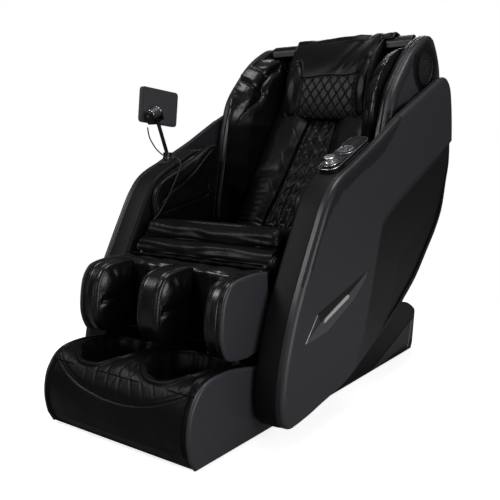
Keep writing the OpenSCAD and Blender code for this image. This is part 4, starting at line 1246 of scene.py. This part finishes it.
CUTTERS.append(speaker_cutter())
hard("wing_left_shell",
     leaf(wing_front, wing_rear, 300, 352, radii=(7, 15, 13, 4), shares=(0.20, 0.36, 0.12, 0.12),
          ends=(10, 10), bulge=1.5, cap=0.02, edge=0.06),
     (260, 170), "backrest", "dark_shell", "dark_shell", ["wing_left"], detail=wing_detail,
     mirror=True, cut=CUTTERS[1], angle=28)


def grille_points(rings=60, count=240):
    """Domed grille with rings of holes, over a flat underside."""
    radius = np.linspace(0.02, 1, rings)[:, None]
    angle = full_turn(count)[None]
    ring = np.floor(radius * 9.999)
    cells = np.maximum(6 * ring, 1)
    cell_radius = np.mod(radius * 10, 1) - 0.5
    cell_angle = np.mod(angle / (2 * math.pi) * cells, 1) - 0.5
    hole = ramp(0.40 - np.hypot(cell_radius, cell_angle), 0, 0.12) * (ring > 0)
    top = 349.4 + 3.4 * (1 - radius ** 2) - 1.5 * hole
    y, z = speaker_oval(angle, 64.5 * radius, 53.5 * radius)
    under = np.stack([np.full_like(top, 348.7), y, z], -1)
    return np.concatenate([np.stack([top, y, z], -1), under[::-1]], 0)


for way, side in SIDES:
    finish(to_mesh("speaker_grille_" + side, *closed_faces(grille_points() * [way, 1, 1]), 50),
           "backrest", "mesh_black", "dark_shell")
    # a raised bezel round each speaker; its lighter grey is partly a painted highlight of the
    # speaker's rim
    bezel = np.column_stack([np.full(120, way * 350.2), *speaker_oval(full_turn(120), 68.5, 57.5)])
    tube("speaker_bezel_" + side, bezel, 3.0, 12, "backrest", "tablet_grey", "dark_shell",
         rings=120, closed=True)

# ------------------------------------------------------------------ back shell
shell_out = np.vstack([
    back_rear[:-1], [[505, 1183], [490, 1188], [474, 1180], [467, 1168], [465, 1144]]])
shell_in = np.vstack([
    aside(back_rear, -7)[:-1], [[502, 1176], [490, 1179], [479, 1174], [473, 1164], [472, 1144]]])
SHELL_HALF = 298


def shell_shape(skin):
    """The shell bows out to the rear and down in the middle."""
    x, y, z = skin.xyz
    bow = (12.0 * (1 - (x / SHELL_HALF) ** 2) * (1 - ramp(skin.along, 0.80, 0.92))
           * ramp(skin.along, 0.0, 0.06))
    y += bow * 0.8
    z -= bow * 0.45


def shell_detail(skin):
    x, _, z = skin.xyz
    along, place, side_x = skin.along, skin.place, np.abs(x)
    # grooves round the middle panel, which stands proud
    height = -2.4 * ridge(side_x - 176, 1.8) * ramp(along, 0.02, 0.05) * (1 - ramp(along, 0.78, 0.80))
    height -= 2.4 * ridge(place - 0.78 * skin.length, 1.8) * (side_x < 176)
    height += 2.0 * ramp(176 - side_x, 0, 5) * (1 - ramp(along, 0.775, 0.785))
    # slots low on the middle panel
    height -= (3.2 * ridge(np.mod(place, 22) - 11, 3.4) * ramp(110 - side_x, 0, 6)
               * ramp(along, 0.13, 0.135) * (1 - ramp(along, 0.305, 0.31)))
    return height * skin.on(FIRST), (1 - ramp(z, 1050, 1085)) * 0.55


hard("back_shell_cover",
     leaf(shell_out, shell_in, -SHELL_HALF, SHELL_HALF, radii=(3, 3, 2, 2), shares=SHEET_SHARES,
          ends=(3, 3), bulge=0.4, cap=0.02, edge=0.05),
     (330, 320), "backrest", "dark_shell", "dark_shell", ["back_shell"], shape=shell_shape,
     detail=shell_detail)

# ================================================================== leg rest
calf_pad_outline = np.vstack([
    curve([[-470, 247], [-540, 252], [-566, 270], [-581, 318], [-573, 390], [-556, 428],
           [-528, 448], [-470, 456]]),
    [[-428, 456], [-428, 247]]])


def calf_pin(skin):
    place, length = skin.place, skin.length
    edge = np.minimum(np.abs(place - 10), np.abs(length - place - 10))
    return np.maximum(skin.xyz[1] > -434, ridge(edge, 3.5) * (skin.scale > 0.99))


def calf_detail(puff_end):
    """Detail of a calf pad; its smaller-X side is puffed, and the other one if puff_end."""
    def detail(skin):
        _, y, z = skin.xyz
        from_start, from_end = skin.place, skin.length - skin.place
        # double stitched piping near both edges of the band
        band = (skin.scale > 0.995) & (skin.inset < 0.1)
        height = np.zeros(y.shape)
        for offset in (from_start - 12.0, from_end - 12.0):
            height += band * ramp(-y, 440, 452) * (
                1.7 * ridge(offset, 1.7) - 1.6 * ridge(offset - 4.2, 1.5)
                + 0.9 * ridge(offset - 7.4, 1.5))
        # puffed side faces, pinched together near the front
        puffed = (from_start < 9.5) | ((from_end < 9.5) & puff_end)
        inward = 1 - skin.scale
        height += puffed * 10.0 * np.sin(np.clip(inward / 0.62, 0, 1) * math.pi / 2)
        above = z - (356 + 0.10 * (y + 500))
        height -= (puffed * (5.0 * ridge(above, 9.0) + 2.0 * ridge(above - 9, 5))
                   * ramp(inward, 0.04, 0.2) * (1 - ramp(y, -530, -470)))
        # gathers round the rim and long waves inside it
        angle = np.arctan2(z - 350, y + 500)
        height += (puffed * 1.3 * np.sin(angle * 9 + 1.5 * np.sin(angle * 4))
                   * ramp(inward, 0.03, 0.12) * (1 - ramp(inward, 0.25, 0.5)))
        height += puffed * 1.2 * np.sin(z * 0.05 + y * 0.07) * ramp(inward, 0.2, 0.5)
        return height

    return detail


for node, x_start, x_end, is_side in (("calf_pad_left", 201, 261.5, True),
                                      ("calf_pad_center", -41, 41, False)):
    soft(node + "_cover",
         prism(calf_pad_outline, x_start, x_end, ends=(9, 9), bulge=3, cap=0.26, edge=0.36),
         (44, 72), (150, 210), "legrest", replaces=[node], pin=calf_pin,
         detail=calf_detail(puff_end=not is_side), pressure=3.5, limit=6, grow=0.010, bend=3.0,
         soften=7, material="gloss_leather", mirror=is_side)

calf_cover_outline = np.vstack([
    [[-427, 248]], [[-429, 300]], [[-430, 380]], [[-428, 448]],
    curve([[-420, 459], [-400, 463.5], [-372, 462]]),
    [[-359, 457], [-364, 452], [-392, 448], [-393, 300], [-393, 248]]])


def calf_cover_pin(skin):
    _, y, z = skin.xyz
    return (y > -405) * (z < 455) * 1.0


def calf_cover_detail(skin):
    x, y, z = skin.xyz
    side_x, full = np.abs(x), skin.scale > 0.99
    # folds between the pads
    folds = (3.4 + 1.8 * np.sin(z * 0.075 + 0.9 * np.sin(x * 0.05))
             + 1.0 * np.sin(x * 0.14 + z * 0.03))
    height = (y < -422) * full * ridge(side_x - 121, 50) * folds
    # waves and a groove across the top
    top = (z > 452) & full
    height += top * 1.6 * np.sin(x * 0.06 + 0.7 * np.sin(y * 0.15)) * ramp(side_x, 10, 60)
    height -= top * 2.2 * ridge(y + 404, 2.5)
    return height


soft("calf_cover_skin",
     prism(calf_cover_outline, -261, 261, ends=(3, 3), bulge=0.5, cap=0.04, edge=0.08),
     (50, 70), (240, 200), "legrest", replaces=["calf_cover"], pin=calf_cover_pin,
     detail=calf_cover_detail, pressure=2.5, limit=5, grow=0.012, soften=5,
     material="gloss_leather")


def side_plates(prefix, outline, x_start, x_end, rim, bulge, count, body, node):
    """A pair of charcoal side plates; rim is the radius of their outer edge."""
    for way, side in SIDES:
        hard(prefix + side,
             prism(outline, way * x_start, way * x_end, ends=(0.6, rim), bulge=bulge, cap=0.16,
                   edge=0.40),
             (60, count), body, "charcoal", "charcoal", [node] if way > 0 else ())


def slab(name, x_start, x_end, y_start, y_end, z_start, z_end, body, radius):
    outline = [[y_start, z_start], [y_start, z_end], [y_end, z_end], [y_end, z_start]]
    hard(name,
         prism(outline, x_start, x_end, ends=(radius, radius), bulge=0.1, cap=0.1, edge=0.3),
         (20, 80), body, "dark_shell", "charcoal")


calf_plate_outline = np.vstack([
    curve([[-480, 238], [-545, 246], [-572, 266], [-587, 318], [-579, 392], [-561, 432],
           [-531, 453], [-452, 462], [-384, 459]]),
    [[-377, 380], [-380, 250]]])
side_plates("calf_plate_", calf_plate_outline, 262, 271.5, rim=7.5, bulge=1.6, count=260,
            body="legrest", node="calf_shell")

# x, y and z ranges, edge radius; the low boards leave a square hole round each foot rod
CALF_BOARDS = {
    "rear": (-262, 262, -392, -386.5, 246, 440, 1.2),
    "low": (-262, 262, -430, -382, 239, 245.5, 0.6),
    "low_rear": (-262, 262, -362, -356, 239, 245.5, 0.6),
    "low_mid": (-150, 150, -382.4, -361.6, 239.4, 245.1, 0.4),
    "low_left": (170, 262, -382.4, -361.6, 239.4, 245.1, 0.4),
    "low_right": (-262, -170, -382.4, -361.6, 239.4, 245.1, 0.4),
    "back": (-262, 262, -357, -352, 239, 380, 1.2),
}
for name, (*ranges, radius) in CALF_BOARDS.items():
    slab("calf_board_" + name, *ranges, "legrest", radius)

# ================================================================== foot box
foot_plate_outline = np.vstack([
    [[-698, 8]],
    curve([[-716, 40], [-724, 84], [-722, 128], [-708, 171], [-674, 211], [-623, 227],
           [-540, 226], [-438, 206], [-378, 180], [-352, 130]]),
    [[-348, 60], [-348, 8]]])
side_plates("foot_plate_", foot_plate_outline, 267, 277.5, rim=8.0, bulge=1.4, count=300,
            body="footbox", node="foot_housing")
slab("foot_floor", -268, 268, -694, -350, 8, 14, "footbox", 1.5)
slab("foot_rear_wall", -268, 268, -356, -350, 14, 120, "footbox", 1.5)
ROD_X, BLOCK_HALF = 160, 18
for way, side in SIDES:
    slab("foot_block_" + side, way * ROD_X - BLOCK_HALF, way * ROD_X + BLOCK_HALF,
         -390, -356, 14, 120, "footbox", 3)
    tube("foot_rod_" + side, [[way * ROD_X, -372, 112], [way * ROD_X, -372, 446]], 8, 24,
         "footbox", "bright_steel", "charcoal", rings=20)

foot_top = np.vstack([
    [[-694, 14]],
    curve([[-714, 44], [-722, 84], [-720, 128], [-706, 170], [-672.5, 209.5], [-623, 225.5],
           [-540, 224.5], [-438, 204.5], [-379, 178.5], [-354, 130]]),
    [[-351, 122]]])
foot_under = np.array([[-351, 121.0], [-393, 121], [-393, 64], [-692, 64], [-694, 15]])
FOOT_CENTRE = np.array([-540, 120.0])
FOOT_HALF = 266.5
WELL_X, WELL_Y = 128, -553    # centre of the left foot well
# crescent seam across the front, as (X, Z)
crescent = curve([
    [-268, 210], [-245, 193], [-186, 165], [-103, 140], [10, 129], [119, 141], [207, 171],
    [258, 196], [268, 201]])


def foot_skin(rings, count):
    """Upholstery over the front, top and rear of the box, closed underneath and at the ends."""
    top = sample(foot_top, np.linspace(0, 1, count - 40))
    under = sample(foot_under, np.linspace(0, 1, 42))[1:-1]
    scales = np.array([0.001, 0.55] + [1.0] * rings + [0.55, 0.001])[:, None, None]
    side_view = FOOT_CENTRE + (np.vstack([top, under]) - FOOT_CENTRE) * scales
    x = np.pad(np.linspace(-FOOT_HALF, FOOT_HALF, rings), 2, mode="edge")
    x = np.broadcast_to(x[:, None, None], (rings + 4, count, 1))
    return Skin(np.concatenate([x, side_view], -1), top=np.arange(count) < len(top))


def well_reach(x, y):
    """1 on the rim of a foot well, below 1 inside."""
    across = (np.abs(x) - WELL_X) / 97.0
    along = (y - WELL_Y) / np.where(y < WELL_Y, 122.0, 104.0)
    return (np.abs(across) ** 2.5 + np.abs(along) ** 2.5) ** (1 / 2.5)


def well_angle(x, y):
    return np.arctan2(y - WELL_Y, np.abs(x) - WELL_X)


def foot_shape(skin):
    """Sink the two foot wells, with wrinkled walls and an uneven floor."""
    x, y, z = skin.xyz
    reach, angle = well_reach(x, y), well_angle(x, y)
    wrinkle = (1 + 0.018 * np.sin(angle * 5 + 1.4 * np.sin(x * 0.05))
               + 0.010 * np.sin(angle * 11 + 2 * np.sin(angle * 3)))
    sink = ramp(1.0 - reach * wrinkle, -0.01, 0.30)
    well_floor = (66.0 + 8 * np.sin(x * 0.07 + 0.6) * np.sin(y * 0.06)
                  + 5 * np.sin(x * 0.03 - y * 0.05))
    here = skin.top & (z > 150) & (y > -690) & (reach < 1.05)
    z[...] = np.where(here, z + (well_floor - z) * sink, z)


def foot_detail(skin):
    x, y, z = skin.xyz
    side_x, reach, angle = np.abs(x), well_reach(x, y), well_angle(x, y)
    upper = skin.top * (y > -690)
    # bead and groove round the wells
    height = upper * (4.2 * ridge(reach - 1.055, 0.032) - 1.5 * ridge(reach - 1.115, 0.018))
    # gathers and waves of the well walls
    inside = (reach < 0.98) * upper
    height += (inside * 2.2 * np.sin(angle * 7 + 1.8 * np.sin(angle * 3 + z * 0.02))
               * ramp(1 - reach, 0, 0.10) * (0.4 + 0.6 * np.sin(z * 0.035 + angle) ** 2))
    height += inside * 2.0 * np.sin(z * 0.06 + angle * 2) * ramp(1 - reach, 0.02, 0.12)
    # swelling in front of the wells
    height += upper * 5.0 * ramp(reach, 1.06, 1.5) * ridge(y + 660, 60)
    # crescent seam across the front
    front = skin.top * (y < -640)
    above = z - np.interp(x, crescent[:, 0], crescent[:, 1])
    height += front * (1.6 * ridge(above, 2.4) - 2.2 * ridge(above - 5, 2.4)
                       + 1.2 * ridge(above - 10, 2.4))
    # raised field above the seam, with shallow crossing cuts that fan out
    field = front * ramp(above, 8, 22)
    wobble = 2.5 * np.sin(z * 0.09 + x * 0.03)
    for way in (1, -1):
        line = np.mod(x + (z - 200) * (x * 0.0016 + way * 0.5) + way * wobble + 21, 42) - 21
        height -= (field * ridge(line, 3.6) * ramp(reach, 1.08, 1.16)
                   * (0.35 + 0.65 * ramp(above, 20, 60)))
    height += field * 2.4
    # side seams: distance from the middle, height, width
    for seam_x, rise, width in ((256, 2.0, 1.6), (251, -2.0, 1.5), (246, 1.2, 1.4)):
        height += skin.top * rise * ridge(side_x - seam_x, width) * (z > 20)
    # waves low on the front
    height += front * 1.2 * np.sin(x * 0.03 + 1) * ridge(z - 90, 40)
    height -= skin.top * ramp(side_x, 262, FOOT_HALF) * 3.0
    return height * ramp(FOOT_HALF - side_x, 0.0, 1.0)


def foot_pin(skin):
    x, y, z = skin.xyz
    reach = well_reach(x, y)
    seam = ridge(z - np.interp(x, crescent[:, 0], crescent[:, 1]), 6) * (y < -640)
    return np.maximum.reduce([
        ~skin.top * 1.0, ridge(reach - 1.03, 0.05), ramp(np.abs(x), 258, 264), seam,
        (reach < 0.8) * (z < 80) * 1.0])


soft("foot_upholstery_cover", foot_skin, (90, 150), (200, 330), "footbox",
     replaces=["foot_upholstery"], shape=foot_shape, pin=foot_pin, detail=foot_detail,
     pressure=3.0, limit=6, grow=0.006, bend=3.0, soften=8, scale=0.8)

# ================================================================== flap from seat to leg rest
leg_flap_line = curve([
    [-313, 512], [-323, 510], [-336, 506], [-346, 496], [-352, 483], [-352, 471], [-350, 463.5],
    [-357, 462], [-370, 466.5], [-382, 468], [-393, 467]])


def leg_flap(thickness=2.4):
    shares = np.linspace(0, 1, 110)
    middle = sample(leg_flap_line, shares)
    tangent = unit(np.gradient(middle, axis=0))
    normal = np.stack([tangent[:, 1], -tangent[:, 0]], -1)    # up and forward on the roll
    x, t = np.meshgrid(np.linspace(-257, 257, 200), shares, indexing="ij")
    # folds of the front roll
    roll = ramp(t, 0.05, 0.20) * (1 - ramp(t, 0.50, 0.60))
    height = roll * (
        1.6 * np.sin(t * 26 + 1.2 * np.sin(x * 0.019) + x * 0.004)
        * (0.4 + 0.6 * np.sin(x * 0.011 + 1) ** 2)
        + 1.2 * np.sin(x * 0.05 + 1.6 * np.sin(x * 0.013)))
    # waves of the flat part
    height += ramp(t, 0.62, 0.70) * (
        2.4 * np.sin(x * 0.055 + 2.0 * np.sin(x * 0.017) + t * 5)
        * np.sin(np.clip((t - 0.62) / 0.38, 0, 1) * math.pi)
        + 1.0 * np.sin(x * 0.13 + t * 9))
    # piped lower edge of the roll and the groove after it
    height += 2.6 * ridge(t - 0.575, 0.018) - 3.5 * ridge(t - 0.62, 0.02)
    top = np.concatenate([x[..., None], middle + normal * height[..., None]], -1)
    drop = np.column_stack([np.zeros(len(shares)), normal * thickness])
    ob = double_sheet("leg_flap", top, top - drop)
    ob.data.materials.append(MATERIALS["black_leather"])
    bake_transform(ob)


leg_flap()

# dark cloth skirts behind the sides of the leg rest
for way, side in SIDES:
    x, z = np.meshgrid(np.linspace(112, 289, 60), np.linspace(96, 466, 60), indexing="ij")
    fold = (5.0 * np.sin(x * 0.10 + 0.8 * np.sin(z * 0.011)) * ramp(444 - z, 0, 120)
            + 1.5 * np.sin(x * 0.23 + z * 0.01)) * ramp(288.9 - x, 0, 6)
    skirt = double_sheet("seat_skirt_" + side, np.stack([way * x, -310 + fold, z], -1),
                         np.stack([way * x, -307.4 + fold, z], -1))
    finish(skirt, "seat", "rubber", "black_leather")

# ================================================================== base
wedge_outline = [
    [228, 12], [268, 20], [310, 32], [455, 82], [560, 120], [592, 130], [602, 118], [600, 72],
    [594, 48], [560, 42], [520, 34], [380, 20], [300, 13]]
for way, side in SIDES:
    hard("base_wedge_" + side,
         prism(wedge_outline, way * 285, way * 288.4, ends=(0.4, 1.4), bulge=0.2, cap=0.12,
               edge=0.30),
         (24, 240), "base", "charcoal", "charcoal", angle=25)

# ================================================================== control panel
# Panel coordinates: x across, y up the slope of the left arm, z out of the panel.
PANEL_TILT = math.radians(23.6)
PANEL_ORIGIN = (328, -68, 764.5)
DIAL_Y, KEYS_Y = -84, 14


def on_panel(x, y, z):
    """Chair coordinates of panel coordinates."""
    x, y, z = np.broadcast_arrays(x, y, z)
    cos, sin = math.cos(PANEL_TILT), math.sin(PANEL_TILT)
    return np.stack([PANEL_ORIGIN[0] + x, PANEL_ORIGIN[1] + y * cos - z * sin,
                     PANEL_ORIGIN[2] + y * sin + z * cos], -1)


def rounded_slot(width, length, radius, steps=16):
    """x and y of a rounded rectangle round the panel's origin."""
    points = []
    for way_x, way_y, start in ((1, 1, 0), (-1, 1, 90), (-1, -1, 180), (1, -1, 270)):
        for i in range(steps + 1):
            angle = math.radians(start + 90 * i / steps)
            points.append([way_x * (width / 2 - radius) + radius * math.cos(angle),
                           way_y * (length / 2 - radius) + radius * math.sin(angle)])
    return np.array(points).T


def panel_oval(name, half_x, half_y, y, z, count, wire, sides, rings, body="seat",
               material="silver_trim", slot="silver_trim"):
    """A closed wire round an oval on the panel."""
    angles = full_turn(count)
    path = on_panel(half_x * np.cos(angles), y + half_y * np.sin(angles), z)
    tube(name, path, wire, sides, body, material, slot, rings=rings, closed=True)


tube("panel_rim", on_panel(*rounded_slot(64.6, 236.6, 26.3), 14.4), 1.1, 12, "seat",
     "silver_trim", "silver_trim", rings=180, closed=True)
tube("panel_inlay", on_panel(*rounded_slot(52, 224, 20), 16.1), 0.8, 10, "seat",
     "dark_shell", "dark_shell", rings=160, closed=True)

# Two-tier dial, as (radius, height): a dished cap, a neck and a knurled foot
DIAL_PROFILE = np.array([
    [0.3, 40.0], [8, 40.0], [13.6, 40.3], [15.4, 40.6], [16.8, 40.2], [17.4, 39.0], [17.4, 33.4],
    [16.6, 32.2], [14.9, 31.8], [14.6, 29.4], [15.4, 28.7], [18.2, 28.5], [18.9, 27.8],
    [19.0, 23.0], [18.4, 22.0], [6.4, 21.9], [0.3, 21.9]])


def dial():
    angle = full_turn(192)[None]
    steps = [np.linspace(start, end, 5)[:-1]
             for start, end in zip(DIAL_PROFILE, DIAL_PROFILE[1:])]
    profile = np.vstack(steps + [DIAL_PROFILE[-1:]])
    z = profile[:, 1:]
    knurl = 0.45 * ((z > 23.2) & (z < 27.6)) * (0.5 - 0.5 * np.cos(angle * 48))
    radius = profile[:, :1] - knurl
    points = on_panel(radius * np.cos(angle), DIAL_Y + radius * np.sin(angle), z)
    finish(to_mesh("dial_cap", *closed_faces(points), 32), "dial", "silver_trim", "silver_trim",
           ["dial_knob"])


dial()
# two raised petals on each key of the ring; angles in degrees
for key, key_angle in (("key_front", -90), ("key_rear", 90), ("key_inner", 180), ("key_outer", 0)):
    for j, offset in enumerate((-22, 22)):
        arc = np.radians(np.linspace(key_angle + offset - 14, key_angle + offset + 14, 9))
        tube("%s_petal_%d" % (key, j),
             on_panel(20.5 * np.cos(arc), KEYS_Y + 20.5 * np.sin(arc), 20.2), 2.1, 12, key,
             "petal_grey", "key_grey", rings=18)
panel_oval("key_centre_ring", 6.2, 6.2, KEYS_Y, 20.3, count=36, wire=1.2, sides=10, rings=60,
           body="key_centre", material="petal_grey", slot="key_grey")
panel_oval("dial_collar", 24.3, 24.3, DIAL_Y, 20.6, count=59, wire=1.3, sides=12, rings=90)
panel_oval("key_collar", 28.4, 28.4, KEYS_Y, 16.2, count=59, wire=0.9, sides=12, rings=90)
for i in range(9):    # short ribs along the panel's outer side
    tube("panel_rib_%d" % i, on_panel(33.2, np.array([-60, -50, -48]) + i * 18, 3.5), 1.5, 10,
         "seat", "key_grey", "key_grey", rings=10)
for i in range(3):
    panel_oval("panel_mark_%d" % i, 10, 4.5, 58 + i * 16, 16.3, count=39, wire=0.6, sides=8,
               rings=60, material="key_grey", slot="key_grey")

# ------------------------------------------------------------------ tablet cables, (X, Y, Z)
tablet_cable = curve([
    [-306, -118, 750], [-292, -126, 755], [-276, -132, 750], [-259, -140, 733],
    [-255.5, -160, 700], [-256, -200, 640], [-256, -245, 585], [-262, -290, 540],
    [-269, -300, 490], [-267, -272, 440]], 10)
tube("tablet_cable_cord", tablet_cable, 2.5, 14, "seat", "rubber", "rubber", rings=150,
     replaces=["tablet_cable"])
tablet_lead = curve([
    [-352, -128, 764], [-362, -150, 786], [-366, -172, 816], [-366, -181, 836],
    [-368, -182, 850], [-371, -180, 858]], 10)
tube("tablet_lead", tablet_lead, 2.3, 14, "tablet_arm", "rubber", "rubber", rings=60)

# bright rings at the ends of the tablet's hub
HUB_CENTRE = np.array([-345, -176, 905])
HUB_RADIUS = 17.6
HUB_TILT = math.atan2(64.0, 160.0)
for i, offset in enumerate((-18.6, 18.6)):
    angles = full_turn(59)
    rise = HUB_RADIUS * np.sin(angles)
    ring = np.column_stack([HUB_RADIUS * np.cos(angles),
                            offset * math.cos(HUB_TILT) - rise * math.sin(HUB_TILT),
                            offset * math.sin(HUB_TILT) + rise * math.cos(HUB_TILT)])
    tube("tablet_hub_ring_%d" % i, ring + HUB_CENTRE, 1.3, 12, "tablet", "silver_trim",
         "silver_trim", rings=90, closed=True)

# ================================================================== soft pieces and their cords
build_soft()


def shoulder_cord(name, line):
    """Piping laid on both shoulder pads along a side-view line; its lighter, glossier material paints
    the cords' highlights.
    """
    skin = MADE["shoulder_pad_left_cover"]
    usable = (np.abs(skin.xyz[0]) < 297.5) & ~skin.on(OUTER, SECOND)
    points = skin.points[usable]
    lifted = points + outward_normals(skin.points)[usable]    # 1 mm off the pad
    path = []
    for y, z in sample(line, np.linspace(0, 1, 60)):
        distance = np.hypot(points[:, 1] - y, points[:, 2] - z)
        near = np.argsort(distance)[:5]
        weight = 1 / (distance[near] + 0.5)
        path.append((lifted[near] * weight[:, None]).sum(0) / weight.sum())
    path = np.array(path)
    for _ in range(5):
        path[1:-1] = (path[:-2] + path[1:-1] * 2 + path[2:]) / 4
    for way, side in SIDES:
        tube("shoulder_cord_%s_%s" % (name, side), path * [way, 1, 1], 1.7, 10, "backrest",
             "piping", "black_leather", rings=120)


shoulder_cord("low", seam_low[4:-6])
shoulder_cord("mid", seam_mid[3:])
shoulder_cord("top", seam_top[:-4])
for cutter in CUTTERS:
    discard(cutter)

# ================================================================== CAD nodes that stay
FINE_NODES = ("dial_knob", "mains_switch", "power_inlet", "base_light_bars")
slot_of = {part["node"]: part["material_slot"] for part in frame["record"]["subparts"]}
for name, node in frame["nodes"].items():
    if node.hide_render:
        continue
    node.data.materials.clear()
    node.data.materials.append(
        MATERIALS["tablet_grey" if name == "tablet_housing" else slot_of[name]])
    fine = name.startswith("key_") or name in FINE_NODES
    bevel = node.modifiers.new("edges", "BEVEL")
    bevel.width = 0.0005 if fine else 0.0012
    bevel.segments = 2
    bevel.limit_method = "ANGLE"
    bevel.angle_limit = math.radians(40)
    bevel.use_clamp_overlap = True
    bevel.harden_normals = True


# ================================================================== stage, in metres
def floor_material():
    """Lit near the chair and fading to white for the camera; dim grey for all other rays."""
    material = bpy.data.materials.new("floor")
    material.use_nodes = True
    tree = material.node_tree
    tree.nodes.clear()
    lit = add_node(tree, "BsdfDiffuse", {"Color": (0.80, 0.80, 0.80, 1)})
    glow = add_node(tree, "Emission", {"Strength": 0.78})
    near = add_node(tree, "AddShader", {0: lit.outputs[0], 1: glow.outputs[0]})
    white = add_node(tree, "Emission", {"Strength": 1.0})
    position = add_node(tree, "NewGeometry").outputs["Position"]
    distance = add_node(tree, "VectorMath", {0: position}, operation="LENGTH")
    fade = add_node(tree, "MapRange", {"From Min": 0.8, "From Max": 1.7,
                                       "Value": distance.outputs["Value"]})
    seen = add_node(tree, "MixShader", {0: fade.outputs["Result"], 1: near.outputs[0],
                                        2: white.outputs[0]})
    dim = add_node(tree, "BsdfDiffuse", {"Color": (0.25, 0.25, 0.25, 1)})
    camera_ray = add_node(tree, "LightPath").outputs["Is Camera Ray"]
    mix = add_node(tree, "MixShader", {0: camera_ray, 1: dim.outputs[0], 2: seen.outputs[0]})
    add_node(tree, "OutputMaterial", {0: mix.outputs[0]})
    return material


def studio_world():
    """White for the camera; a dark gradient, lighter upwards, for all other rays."""
    world = bpy.data.worlds.new("studio")
    scene.world = world
    world.use_nodes = True
    tree = world.node_tree
    tree.nodes.clear()
    direction = add_node(tree, "TexCoord").outputs["Generated"]
    split = add_node(tree, "SeparateXYZ", {0: direction})
    rise = add_node(tree, "MapRange", {"From Min": -1, "From Max": 1, "Value": split.outputs["Z"]})
    gradient = add_node(tree, "ValToRGB", {"Fac": rise.outputs["Result"]})
    low, high = gradient.color_ramp.elements
    low.position, low.color = 0.42, (0.03, 0.03, 0.032, 1)
    high.position, high.color = 1.0, (0.15, 0.15, 0.16, 1)
    around = add_node(tree, "Background", {"Color": gradient.outputs["Color"], "Strength": 1.0})
    backdrop = add_node(tree, "Background", {"Color": (1, 1, 1, 1), "Strength": 1.0})
    camera_ray = add_node(tree, "LightPath").outputs["Is Camera Ray"]
    mix = add_node(tree, "MixShader", {0: camera_ray, 1: around.outputs[0],
                                       2: backdrop.outputs[0]})
    add_node(tree, "OutputWorld", {0: mix.outputs[0]})


def softbox(name, location, target, size, energy, size_y=None):
    """Area light aimed at target; energy in watts."""
    light = bpy.data.lights.new(name, "AREA")
    light.energy = energy
    light.size = size
    if size_y:
        light.shape = "RECTANGLE"
        light.size_y = size_y
    ob = bpy.data.objects.new(name, light)
    scene.collection.objects.link(ob)
    ob.location = location
    aim = Vector(target) - Vector(location)
    ob.rotation_euler = aim.to_track_quat("-Z", "Y").to_euler()
    ob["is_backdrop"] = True


def add_camera():
    lens = bpy.data.cameras.new("camera")
    lens.sensor_width = 36.0
    lens.lens = 49.2
    camera = bpy.data.objects.new("camera", lens)
    scene.collection.objects.link(camera)
    camera.location = (1.3075, -1.8905 + ROW_SHIFT / 1000, 0.8043)
    pitch_down, turn = 0.1546, 0.6296    # radians
    camera.rotation_euler = (math.pi / 2 - pitch_down, 0, turn)
    scene.camera = camera
    scene.view_settings.view_transform = "Standard"


bpy.ops.mesh.primitive_plane_add(size=30, location=(0, 0, 0))
floor = bpy.context.object
floor.name = "floor"
floor.data.materials.append(floor_material())
floor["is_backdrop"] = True
studio_world()
softbox("key", location=(-1.7, -2.3, 2.8), target=(0, 0, 0.6), size=1.2, size_y=0.9, energy=42)
softbox("top", location=(0.3, 0.1, 3.3), target=(0, 0, 0.5), size=1.3, energy=34)
softbox("side", location=(3.3, -0.9, 1.3), target=(0.2, -0.2, 0.4), size=1.7, size_y=1.6,
        energy=44)
softbox("side_low", location=(2.6, -2.2, 0.6), target=(0.3, -0.5, 0.25), size=1.1, energy=15)
softbox("rear", location=(-1.2, 3.0, 2.2), target=(0, 0.3, 0.8), size=1.4, energy=30)
softbox("front_low", location=(-0.6, -3.4, 1.0), target=(-0.1, -0.5, 0.25), size=1.0, energy=7)
add_camera()

vis_lo, vis_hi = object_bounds()
